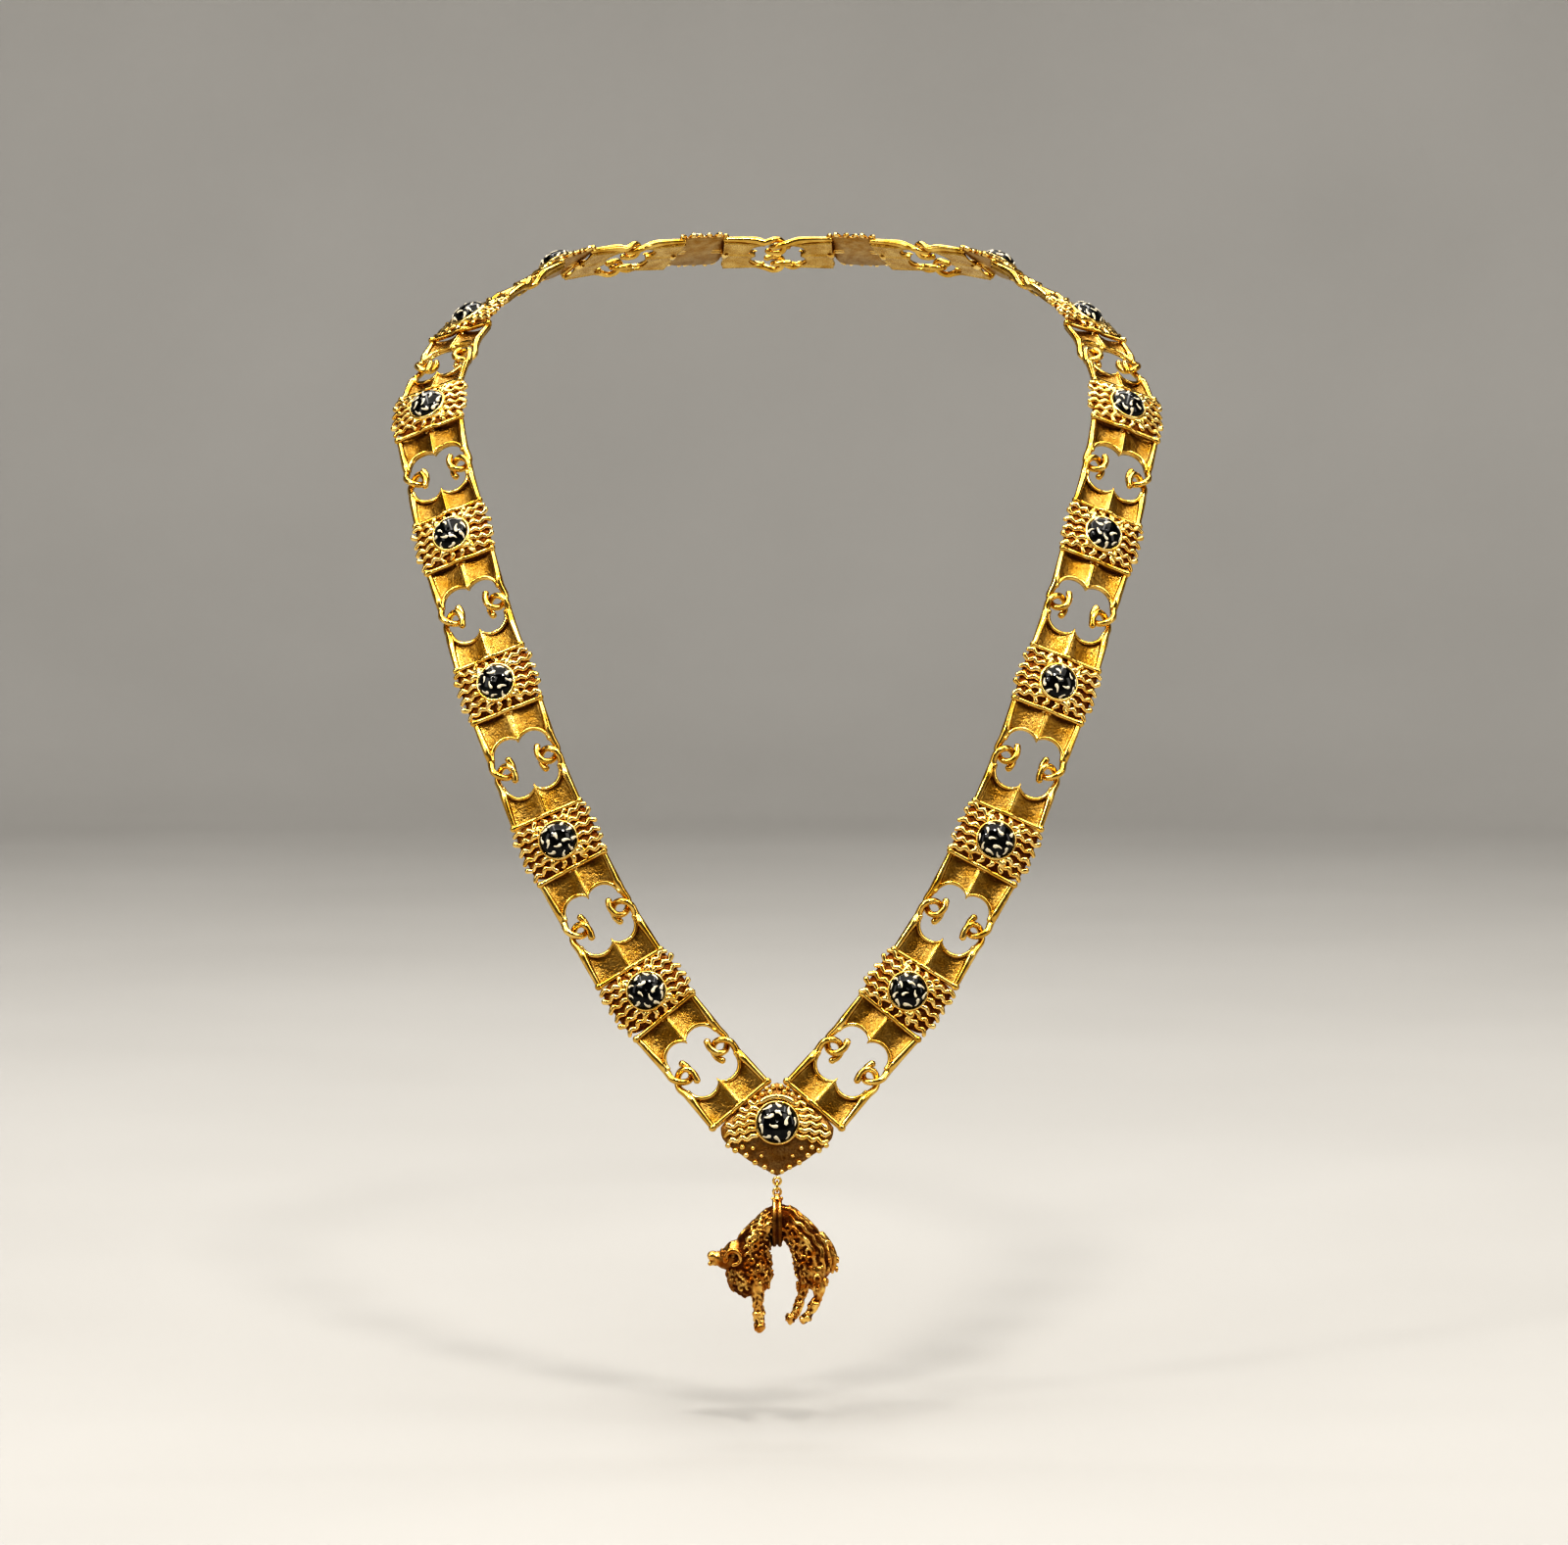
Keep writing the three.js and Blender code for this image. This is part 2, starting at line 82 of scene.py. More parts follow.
def catmullRom(points, t):
    place = (len(points) - 1) * t  # centripetal curve through the points, t from 0 to 1
    first = min(int(place), len(points) - 2)
    weight = place - first
    p1, p2 = points[first], points[first + 1]
    p0 = points[first - 1] if first > 0 else 2 * p1 - p2
    p3 = points[first + 2] if first + 2 < len(points) else 2 * p2 - p1
    d0, d1, d2 = [math.sqrt((b - a).length) for a, b in ((p0, p1), (p1, p2), (p2, p3))]
    leave = ((p1 - p0) / d0 - (p2 - p0) / (d0 + d1) + (p2 - p1) / d1) * d1
    arrive = ((p2 - p1) / d1 - (p3 - p1) / (d1 + d2) + (p3 - p2) / d2) * d1
    square = -3 * p1 + 3 * p2 - 2 * leave - arrive
    cube = 2 * p1 - 2 * p2 + leave + arrive
    return p1 + leave * weight + square * weight ** 2 + cube * weight ** 3


# Small helpers for nodes, used by the finishes and by the shape trees

def addNode(tree, kind, sockets=None, **settings):
    made = tree.nodes.new(kind)
    for name, value in settings.items():
        setattr(made, name, value)
    for name, value in (sockets or {}).items():
        made.inputs[name].default_value = value
    return made


def newTree(name, sizes):
    tree = bpy.data.node_groups.new(name, "GeometryNodeTree")
    tree.interface.new_socket("Geometry", in_out="INPUT", socket_type="NodeSocketGeometry")
    for label, kind in sizes.items():
        tree.interface.new_socket(label, in_out="INPUT", socket_type="NodeSocket" + kind)
    tree.interface.new_socket("Geometry", in_out="OUTPUT", socket_type="NodeSocketGeometry")
    return tree, tree.nodes.new("NodeGroupInput"), tree.nodes.new("NodeGroupOutput")


def chainNodes(tree, *steps):
    for before, after in zip(steps, steps[1:]):
        tree.links.new(before.outputs[0], after.inputs[0])


def joinSockets(tree, *rows):
    for source, output, target, socket in rows:
        tree.links.new(source.outputs[output], target.inputs[socket])


# Small helpers for meshes. shade is 1 where painted shade darkens the gold most, in hollows and between
# parts, matt is 1 where the gold is left unpolished

mergeGap = 0.001  # mm


def addObject(name, data):
    made = bpy.data.objects.new(name, data)
    scene.collection.objects.link(made)
    return made


def setLayer(mesh, layer, values):
    made = mesh.attributes.get(layer) or mesh.attributes.new(layer, "FLOAT", "POINT")
    made.data.foreach_set("value", np.asarray(values, np.float32))


def getLayer(mesh, layer):
    values = np.zeros(len(mesh.vertices), np.float32)
    if layer in mesh.attributes:
        mesh.attributes[layer].data.foreach_get("value", values)
    return values


def newMesh(name, points, faces, finish, shade=0.0, matt=0.0):
    mesh = bpy.data.meshes.new(name)
    mesh.from_pydata([tuple(Vector(point) * mm) for point in points], [], faces)
    mesh.materials.append(finish)
    mesh.polygons.foreach_set("use_smooth", [True] * len(mesh.polygons))
    for layer, value in (("shade", shade), ("matt", matt)):
        setLayer(mesh, layer, np.broadcast_to(np.asarray(value, np.float32), (len(points),)))
    return mesh


def gather(name, meshes):
    points, faces, slots, finishes = [], [], [], []
    for mesh in meshes:
        first = len(points)
        points.extend(vertex.co / mm for vertex in mesh.vertices)
        for face in mesh.polygons:
            faces.append([first + corner for corner in face.vertices])
            finish = mesh.materials[face.material_index]
            if finish not in finishes:
                finishes.append(finish)
            slots.append(finishes.index(finish))
    layers = [np.concatenate([getLayer(mesh, layer) for mesh in meshes]) for layer in ("shade", "matt")]
    made = newMesh(name, points, faces, finishes[0], *layers)
    for finish in finishes[1:]:
        made.materials.append(finish)
    made.polygons.foreach_set("material_index", slots)
    return made


def faceOutwards(mesh):
    work = bmesh.new()
    work.from_mesh(mesh)
    bmesh.ops.remove_doubles(work, verts=work.verts, dist=mergeGap * mm)
    bmesh.ops.recalc_face_normals(work, faces=work.faces)
    work.to_mesh(mesh)
    work.free()
    return mesh


def trimFaces(mesh, unwanted):
    work = bmesh.new()
    work.from_mesh(mesh)
    bmesh.ops.delete(work, geom=[face for face in work.faces if unwanted(face)], context="FACES")
    work.to_mesh(mesh)
    work.free()
    return mesh


def tubeFaces(rings, count, closed=False):
    # quads between rings of count points, and a cap at each end of an open tube
    faces = []
    for ring in range(rings if closed else rings - 1):
        here, there = ring * count, (ring + 1) % rings * count
        for step in range(count):
            after = (step + 1) % count
            faces.append([here + step, there + step, there + after, here + after])
    if not closed:
        faces.append(list(range(count)))
        faces.append([(rings - 1) * count + step for step in reversed(range(count))])
    return faces


def discFaces(rings, count, closed=False):
    # a fan round the first point, quads between the rings, and a fan to the last point of a closed disc
    faces = []
    for turn in range(count):
        after = (turn + 1) % count
        faces.append([0, 1 + turn, 1 + after])
        for ring in range(rings - 1):
            low, high = 1 + ring * count, 1 + (ring + 1) * count
            faces.append([low + turn, high + turn, high + after, low + after])
        if closed:
            edge = 1 + (rings - 1) * count
            faces.append([edge + turn, 1 + rings * count, edge + after])
    return faces


def lathe(name, profile, segments, finish):
    points = []
    for angle in turns(segments):
        points += [(radius * math.cos(angle), radius * math.sin(angle), height) for radius, height in profile]
    faces = tubeFaces(segments, len(profile), closed=True)
    return faceOutwards(newMesh(name, points, faces, finish))


def shapeByModifier(mesh, kind, setUp):
    carrier = addObject("carrier", mesh)
    work = carrier.modifiers.new("work", kind)
    setUp(work)
    view = bpy.context.evaluated_depsgraph_get()
    made = bpy.data.meshes.new_from_object(carrier.evaluated_get(view))
    carrier.modifiers.remove(work)
    bpy.data.objects.remove(carrier)
    return made


def shapeByTree(mesh, tree, values):
    def setInputs(work):
        work.node_group = tree
        for item in tree.interface.items_tree:
            if item.in_out == "INPUT" and item.name in values:
                work[item.identifier] = values[item.name]

    return shapeByModifier(mesh, "NODES", setInputs)


def fuseByVoxels(mesh, voxel):
    def setVoxels(work):
        work.mode = "VOXEL"
        work.voxel_size = voxel * mm
        work.use_smooth_shade = True

    return shapeByModifier(mesh, "REMESH", setVoxels)


def finishPiece(mesh, body, slot, *nodes):
    piece = addObject(nodes[0] + "_gilt", mesh)
    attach(piece, body)
    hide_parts(*nodes)


# Camera at the place from which the collar was seen

viewpoint = {
    "imageWidth": 1600,
    "imageHeight": 1577,
    "platePixel": (793, 1148),  # middle of the front plate in the picture
    "pixelAtPlate": 0.2973,  # mm
    "distance": 1700,  # mm
    "elevation": 4,  # degrees above level
    "sensor": 36,
    "nearest": 50,  # mm
}
frontPlate = {"back": -226, "up": -268, "tilt": 17}  # middle of the front plate, mm, and its lean


def placeCamera(view):
    focal = view["distance"] / view["pixelAtPlate"]
    rise = math.radians(view["elevation"])
    ahead = Vector((0, math.cos(rise), -math.sin(rise)))
    upward = Vector((0, math.sin(rise), math.cos(rise)))
    right = Vector((1, 0, 0))
    column, row = view["platePixel"]
    ray = ahead + right * (column - view["imageWidth"] / 2) / focal
    ray -= upward * (row - view["imageHeight"] / 2) / focal
    lens = bpy.data.cameras.new("camera")
    lens.sensor_fit = "HORIZONTAL"
    lens.sensor_width = view["sensor"]
    lens.lens = view["sensor"] * focal / view["imageWidth"]
    lens.clip_start = view["nearest"] * mm
    camera = addObject("camera", lens)
    plate = Vector((0, frontPlate["back"], frontPlate["up"]))
    turn = Matrix((right, upward, -ahead)).transposed()
    camera.matrix_world = Matrix.Translation((plate - ray * view["distance"]) * mm) @ turn.to_4x4()
    scene.camera = camera


placeCamera(viewpoint)
print("camera placed")


# Finishes

def newFinish(name, **sockets):
    finish = bpy.data.materials.new(name)
    finish.use_nodes = True
    shader = finish.node_tree.nodes["Principled BSDF"]
    for label, value in sockets.items():
        shader.inputs[label].default_value = value
    return finish, finish.node_tree, shader


def blendColours(tree, share, low, high):
    made = addNode(tree, "ShaderNodeMix", data_type="RGBA")
    tree.links.new(share, made.inputs["Factor"])
    for name, colour in (("A", low), ("B", high)):
        socket = next(s for s in made.inputs if s.name == name and s.type == "RGBA")
        if isinstance(colour, tuple):
            socket.default_value = (*colour, 1)
        else:
            tree.links.new(colour, socket)
    return next(s for s in made.outputs if s.type == "RGBA")


def mapRange(tree, value, span, low, high):
    limits = {"From Min": span[0], "From Max": span[1], "To Min": low, "To Max": high}
    made = addNode(tree, "ShaderNodeMapRange", limits)
    tree.links.new(value, made.inputs["Value"])
    return made.outputs["Result"]


def calculate(tree, operation, first, second):
    made = addNode(tree, "ShaderNodeMath", operation=operation)
    for socket, value in zip(made.inputs, (first, second)):
        tree.links.new(value, socket)
    return made.outputs["Value"]


def surfaceNoise(tree, grain, detail):
    coords = addNode(tree, "ShaderNodeTexCoord")
    made = addNode(tree, "ShaderNodeTexNoise", {"Scale": 1 / (grain * mm), "Detail": detail})
    tree.links.new(coords.outputs["Object"], made.inputs["Vector"])
    return made.outputs["Fac"]


def layerValue(tree, layer):
    return addNode(tree, "ShaderNodeAttribute", attribute_name=layer).outputs["Fac"]


# tone and worn pits of the gold, and how the grain varies its painted shade
goldWearAndShade = {
    "cloudSpan": (0.35, 0.65),  # spans of the noise
    "cloudDetail": 3.0,
    "grainSpan": (0.3, 0.7),
    "grainDetail": 4.0,
    "paintedShadeGrain": (1.15, 0.85),  # times the painted shade, varied by the grain
    "roughness": (-0.03, 0.06),  # added
    "pitSpan": (0.25, 0.6),
    "polishedPits": 0.08,  # share of the pits left on polished gold
}


def goldFinish(name, look):
    finish, tree, shader = newFinish(name, Metallic=1.0)
    wearAndShade, whole = goldWearAndShade, (0, 1)
    shade = layerValue(tree, "shade")
    matt = layerValue(tree, "matt")
    cloud = mapRange(tree, surfaceNoise(tree, look["cloud"], wearAndShade["cloudDetail"]), wearAndShade["cloudSpan"], 0, 1)
    grain = surfaceNoise(tree, look["grain"], wearAndShade["grainDetail"])
    tone = blendColours(tree, cloud, look["bright"], look["warm"])
    # painted shade: the shade layer, varied by the grain, mixes the gold towards its darkest colour
    paintedShadeGrain = calculate(tree, "MULTIPLY", mapRange(tree, grain, wearAndShade["grainSpan"], *wearAndShade["paintedShadeGrain"]), shade)
    colour = blendColours(tree, mapRange(tree, paintedShadeGrain, whole, 0, 1), tone, look["paintedShadeColour"])
    tree.links.new(colour, shader.inputs["Base Color"])
    unpolished = calculate(tree, "MAXIMUM", matt, shade)
    dull = mapRange(tree, unpolished, whole, look["polished"], look["unpolished"])
    rough = calculate(tree, "ADD", dull, mapRange(tree, grain, wearAndShade["grainSpan"], *wearAndShade["roughness"]))
    tree.links.new(rough, shader.inputs["Roughness"])
    pits = mapRange(tree, grain, wearAndShade["pitSpan"], 0, 1)
    height = calculate(tree, "MULTIPLY", pits, mapRange(tree, matt, whole, wearAndShade["polishedPits"], 1))
    bump = addNode(tree, "ShaderNodeBump", {"Strength": 1.0, "Distance": look["pitDepth"] * mm})
    tree.links.new(height, bump.inputs["Height"])
    tree.links.new(bump.outputs["Normal"], shader.inputs["Normal"])
    return finish


def cloudedFinish(name, look, **sockets):
    finish, tree, shader = newFinish(name, **sockets)
    cloud = mapRange(tree, surfaceNoise(tree, look["cloud"], look["detail"]), look["span"], 0, 1)
    colour = blendColours(tree, cloud, look["colour"], look["clouded"])
    tree.links.new(colour, shader.inputs["Base Color"])
    return finish


# the darkest colour of each gold is painted shade, mixed in where the shade layer is high
steelGold = goldFinish("polishedGold", {
    "bright": (0.84, 0.61, 0.22),
    "warm": (0.60, 0.37, 0.07),
    "paintedShadeColour": (0.17, 0.085, 0.011),
    "cloud": 4.5,  # mm
    "grain": 0.7,  # mm
    "polished": 0.15,
    "unpolished": 0.3,
    "pitDepth": 0.1,  # mm
})
flintGold = goldFinish("flameGold", {
    "bright": (0.97, 0.76, 0.36),
    "warm": (0.76, 0.50, 0.14),
    "paintedShadeColour": (0.15, 0.048, 0.007),
    "cloud": 3.0,
    "grain": 0.6,
    "polished": 0.16,
    "unpolished": 0.45,
    "pitDepth": 0.12,
})
fleeceGold = goldFinish("fleeceGold", {
    "bright": (0.95, 0.66, 0.24),
    "warm": (0.50, 0.20, 0.026),
    "paintedShadeColour": (0.115, 0.034, 0.005),
    "cloud": 3.5,
    "grain": 0.5,
    "polished": 0.16,
    "unpolished": 0.5,
    "pitDepth": 0.05,
})
stoneFinish = cloudedFinish("blackStone", {
    "colour": (0.004, 0.004, 0.005),
    "clouded": (0.022, 0.024, 0.02),
    "cloud": 2.2,
    "detail": 5.0,
    "span": (0.45, 0.75),
}, Roughness=0.06, IOR=1.45)
enamelFinish = cloudedFinish("paleEnamel", {
    "colour": (0.86, 0.81, 0.66),
    "clouded": (0.66, 0.58, 0.42),
    "cloud": 0.9,
    "detail": 3.0,
    "span": (0.35, 0.65),
}, Roughness=0.22, IOR=1.5)
print("finishes made")


# Shape tree: a tapered wire swept along each path

def taperedWireTree():
    tree, start, end = newTree("taperedWire", {"Sides": "Int", "Steps": "Int", "Finish": "Material"})
    line = addNode(tree, "GeometryNodeMeshToCurve")
    curved = addNode(tree, "GeometryNodeCurveSplineType", spline_type="CATMULL_ROM")
    steps = addNode(tree, "GeometryNodeSetSplineResolution")
    thick = addNode(tree, "GeometryNodeInputNamedAttribute", {"Name": "thick"}, data_type="FLOAT")
    profile = addNode(tree, "GeometryNodeCurvePrimitiveCircle", {"Radius": 1.0})
    sweep = addNode(tree, "GeometryNodeCurveToMesh", {"Fill Caps": True})
    soft = addNode(tree, "GeometryNodeSetShadeSmooth")
    real = addNode(tree, "GeometryNodeRealizeInstances")
    finish = addNode(tree, "GeometryNodeSetMaterial")
    chainNodes(tree, start, line, curved, steps, sweep, soft, real, finish, end)
    joinSockets(
        tree,
        (start, "Steps", steps, "Resolution"),
        (start, "Sides", profile, "Resolution"),
        (profile, "Curve", sweep, "Profile Curve"),
        (thick, "Attribute", sweep, "Scale"),
        (start, "Finish", finish, "Material"),
    )
    return tree


wireTree = taperedWireTree()
wireTip = namedRows("out thick", (0.62, 0.72), (0.95, 0.12))  # how an end is rounded off, in radii


def wirePath(points, thick, closed=False, shade=0.0):
    thick = list(np.broadcast_to(thick, (len(points),)))
    points = [Vector(point) for point in points]
    if not closed:
        for end, inner in ((0, 1), (-1, -2)):
            out = (points[end] - points[inner]).normalized() * thick[end]
            tip = [points[end] + out * row["out"] for row in wireTip]
            radii = [thick[end] * row["thick"] for row in wireTip]
            if end == 0:
                points[:0] = tip[::-1]
                thick[:0] = radii[::-1]
            else:
                points += tip
                thick += radii
    return {"points": points, "thick": thick, "closed": closed, "shade": shade}


def routePath(rows, y):
    return wirePath([(row["x"], y, row["z"]) for row in rows], columnOf(rows, "thick"))


def sweepWires(name, paths, finish, sides, steps):
    points, edges, thick, shade = [], [], [], []
    for path in paths:
        first = len(points)
        count = len(path["points"])
        points.extend(point * mm for point in path["points"])
        edges.extend((first + i, first + i + 1) for i in range(count - 1))
        if path["closed"]:
            edges.append((first + count - 1, first))
        thick.extend(radius * mm for radius in path["thick"])
        shade.extend(np.broadcast_to(path["shade"], (count,)))
    line = bpy.data.meshes.new(name)
    line.from_pydata([tuple(point) for point in points], edges, [])
    for layer, values in (("thick", thick), ("shade", shade), ("matt", np.zeros(len(points)))):
        setLayer(line, layer, values)
    return faceOutwards(shapeByTree(line, wireTree, {"Sides": sides, "Steps": steps, "Finish": finish}))


# Fire-steel link: x from its hinge to the middle of its pair, y across, z to the front, mm

steelLink = {
    "reach": 18.3,
    "hingeEdge": -0.5,
    "hingeHalf": 10.5,
    "lobeRadius": 5.0,
    "lobeFromMidline": 4.0,
    "lobeFromHinge": 13.4,
    "ridge": 1.35,
    "rim": 0.8,
    "valley": -0.35,
    "valleyShare": 0.55,  # where the scoop is deepest, from the ridge out
    "ridgePower": 1.4,
    "rimPower": 2,
    "back": -0.9,
    "backHollow": 0.2,
    "columns": 22,  # in each half
    "rows": 22,
    "sideMargin": 0.14,  # shares of the scoop that stay even and polished
    "endMargin": 0.1,
    "hammer": 0.1,  # unevenness of the scoops
    "hammerGrain": 1.7,
    # painted shade: in the middle of the scoops and on the back of the plate
    "scoopShade": 0.72,
    "backShade": 0.2,
    "backMatt": 0.6,
    "lobeRim": 0.66,
    "rimInset": 0.33,
    "rimSteps": 12,
    "rimLowest": 0.45,
    "rimLift": 0.05,
    "rimTip": 0.55,  # share of its thickness at the cusp
    "rimTaper": 0.35,  # share of its length
    "hingeBar": 0.84,
    "hingeLift": 1.55,
    "hingeBack": 0.65,
    "hingeBow": 2.15,
    "bowRun": (3.4, 1.2),  # mm from the midline, where it starts and where it is full
    "barPast": 0.6,
    "barSteps": 16,
    "barEnd": 1.35,
    "barEndRun": 1.2,
    "rod": 0.55,
    "rodHalf": 2.4,
}
armRoute = namedRows(  # side bar, from the hinge corner to where the hook leaves it
    "x out lift thick",
    (-0.1, 10.75, 0.7, 0.92),
    (2.6, 10.6, 0.8, 0.98),
    (6.8, 10.4, 0.85, 1.12),
    (10.8, 10.15, 0.7, 1.3),
)
hookRoute = namedRows(  # ahead is past the middle of the pair, lift changes side with the hand of the link
    "ahead out lift thick",
    (-4.8, 10.2, 0.0, 1.16),
    (-1.6, 10.5, 1.1, 1.04),
    (0.8, 9.0, 1.1, 1.04),
    (1.75, 7.0, 0.0, 1.02),
    (0.9, 5.1, -1.1, 1.02),
    (-1.6, 4.4, -1.2, 1.0),
    (-3.8, 5.0, -0.9, 1.1),
)
crestRoute = namedRows("x z thick", (1.9, 1.3, 0.3), (6, 1.35, 0.34), (9.6, 1.35, 0.42), (10.9, 1.2, 0.16))


def lobeEdge(link, share):
    cusp = math.acos(-link["lobeFromMidline"] / link["lobeRadius"])
    turn = cusp * (1 - share)
    x = link["lobeFromHinge"] - link["lobeRadius"] * math.sin(turn)
    return x, link["lobeFromMidline"] + link["lobeRadius"] * math.cos(turn)


def scoopHeight(link, share):
    middle = link["valleyShare"]
    if share < middle:
        return lerp(link["valley"], link["ridge"], (1 - share / middle) ** link["ridgePower"])
    return lerp(link["valley"], link["rim"], ((share - middle) / (1 - middle)) ** link["rimPower"])


def steelPlate(link):
    columns, rows = link["columns"], link["rows"]
    wide = 2 * columns + 1
    front, back, shade, matt = [], [], [], []
    for ahead in shares(rows):
        for column in range(wide):
            share = abs(column / columns - 1)
            side = 1 if column >= columns else -1
            lobeX, lobeY = lobeEdge(link, share)
            x = lerp(link["hingeEdge"], lobeX, ahead)
            y = side * lerp(share * link["hingeHalf"], lobeY, ahead)
            inside = within(link["sideMargin"], share) * within(link["endMargin"], ahead)
            uneven = noise.noise(Vector((x, y, 0)) / link["hammerGrain"]) * link["hammer"]
            front.append((x, y, scoopHeight(link, share) + uneven * inside))
            back.append((x, y, link["back"] + link["backHollow"] * inside))
            matt.append(inside)
            shade.append(link["scoopShade"] * inside)
    faces, border = [], {}
    for row in range(rows):
        for column in range(wide - 1):
            corners = [row * wide + column, row * wide + column + 1]
            corners += [corners[1] + wide, corners[0] + wide]
            faces.append(corners)
            faces.append([corner + len(front) for corner in reversed(corners)])
            for edge in zip(corners, corners[1:] + corners[:1]):
                if edge[::-1] in border:
                    del border[edge[::-1]]
                else:
                    border[edge] = True
    faces += [[b, a, a + len(front), b + len(front)] for a, b in border]
    shade += [link["backShade"]] * len(back)
    matt += [link["backMatt"]] * len(back)
    return faceOutwards(newMesh("steelPlate", front + back, faces, steelGold, shade, matt))


def steelWires(link, hand):
    paths = []
    wider = {**link, "lobeRadius": link["lobeRadius"] + link["rimInset"]}
    for side in (1, -1):
        arm = [(row["x"], side * row["out"], row["lift"]) for row in armRoute]
        for row in hookRoute:
            arm.append((link["reach"] + row["ahead"], side * row["out"], -side * hand * row["lift"]))
        paths.append(wirePath(arm, columnOf(armRoute + hookRoute, "thick")))
        rim, thick = [], []
        for share in shares(link["rimSteps"]):
            x, y = lobeEdge(wider, share)
            lift = max(link["rimLowest"], scoopHeight(link, share)) + link["rimLift"]
            rim.append((x, side * max(0, y), lift))
            thick.append(link["lobeRim"] * lerp(link["rimTip"], 1, smooth(0, link["rimTaper"], share)))
        paths.append(wirePath(rim, thick))
    half = link["hingeHalf"] + link["barPast"]
    bar, thick = [], []
    for share in shares(link["barSteps"]):
        across = lerp(-half, half, share)
        lift = lerp(link["hingeLift"], link["hingeBow"], smooth(*link["bowRun"], abs(across)))
        bar.append((link["hingeEdge"] + link["hingeBack"], across, lift))
        nearEnd = smooth(half - link["barEndRun"], half, abs(across))
        thick.append(link["hingeBar"] * lerp(1, link["barEnd"], nearEnd))
    paths.append(wirePath(bar, thick))
    paths.append(wirePath([(0, y, 0) for y in (-link["rodHalf"], 0, link["rodHalf"])], link["rod"]))
    paths.append(routePath(crestRoute, 0))
    return sweepWires("steelWires", paths, steelGold, sides=8, steps=4)


plateMesh = steelPlate(steelLink)
steelMasters = {hand: gather("steelLink", [plateMesh, steelWires(steelLink, hand)]) for hand in (1, -1)}
print("fire-steel link made:", [len(mesh.polygons) for mesh in steelMasters.values()], "faces")


# Flint plate: x along the collar, y across, z to the front, mm

flintPlate = {
    "span": 18.4,
    "halfLength": 8.85,
    "halfWidth": 11.6,
    "squareness": 6.0,
    "top": 3.15,
    "edge": 1.55,
    "back": 1.0,
    "rimShare": 1.015,
    "backShare": 0.97,
    "segments": 56,
    "rings": 9,
    # painted shade: on the ground between the rays, on the rim and on the back
    "groundShade": 0.95,
    "rimShade": 0.6,
    "backShade": 0.5,
    "matt": 0.6,
    "sideRays": 6,
    "sideTip": 12.9,
    "sideSpread": 7.6,
    "sideFan": 64,  # degrees, from the middle ray to the outer one at the stone
    "tipFall": 0.7,
    "tipDraw": 0.45,
    "endRays": 4,
    "endTip": 8.1,
    "endSpread": 4.6,
    "endFlare": 1.1,
    "rayStart": 6.3,
    "rayThick": 0.9,
    "rayWave": 0.5,
    "rayLift": 0.25,
    "variants": 4,
    "seed": 11,
}
flame = {
    "bend": 1.5,  # mm from one bend to the next
    "straight": 0.3,  # share of the ray before its full wave
    "waveDraw": (0.85, 1.15),
    "thickDraw": (0.92, 1.08),
    "hop": 0.12,
    "swell": 1.14,
    "waist": 0.84,
    "tip": 0.88,
}
stoneSetting = {
    "radius": 5.55,
    "foot": 2.6,
    "seat": 3.9,
    "dome": 3.0,
    "pole": 0.001,
    "segments": 40,
    "domeRings": 10,
    "bezelSegments": 48,
    "fleckFoot": 0.75,  # above the seat
}
bezelProfile = [(6.5, 2.3), (6.45, 3.6), (6.2, 4.15), (5.85, 4.32), (5.55, 4.15), (5.4, 3.6), (5.4, 2.3)]
knuckle = {
    "inner": 0.95,
    "outer": 1.34,
    "half": 1.5,
    "chamfer": 0.1,
    "segments": 24,
    "tongueSide": 0.9,
}
tongueRoute = namedRows("x z thick", (-0.9, 1.05, 0.42), (-2.2, 1.15, 0.42), (-4.4, 1.25, 0.42))


def groundHeight(plate, share):
    return max(plate["edge"], plate["top"] - (plate["top"] - plate["edge"]) * share ** 2)


def flintGround(plate, outline, name):
    # outline gives the edge at an angle, and the ground falls away from the stone to it
    levels = []
    for ring in range(1, plate["rings"] + 1):
        share = ring / plate["rings"]
        levels.append((share, groundHeight(plate, share), plate["groundShade"]))
    levels.append((plate["rimShare"], lerp(plate["edge"], plate["back"], 0.5), plate["rimShade"]))
    levels.append((plate["backShare"], plate["back"], plate["rimShade"]))
    points, shade = [(0, 0, plate["top"])], [plate["groundShade"]]
    for share, height, levelShade in levels:
        for angle in turns(plate["segments"]):
            x, y = outline(angle)
            points.append((x * share, y * share, height))
            shade.append(levelShade)
    points.append((0, 0, plate["back"]))
    shade.append(plate["backShade"])
    faces = discFaces(len(levels), plate["segments"], closed=True)
    return faceOutwards(newMesh(name, points, faces, flintGold, shade, plate["matt"]))


def squareOutline(angle):
    power = 2 / flintPlate["squareness"]
    x = math.copysign(abs(math.cos(angle)) ** power, math.cos(angle))
    y = math.copysign(abs(math.sin(angle)) ** power, math.sin(angle))
    return x * flintPlate["halfLength"], y * flintPlate["halfWidth"]


def squareShare(x, y):
    power = flintPlate["squareness"]
    x, y = abs(x / flintPlate["halfLength"]), abs(y / flintPlate["halfWidth"])
    return (x ** power + y ** power) ** (1 / power)


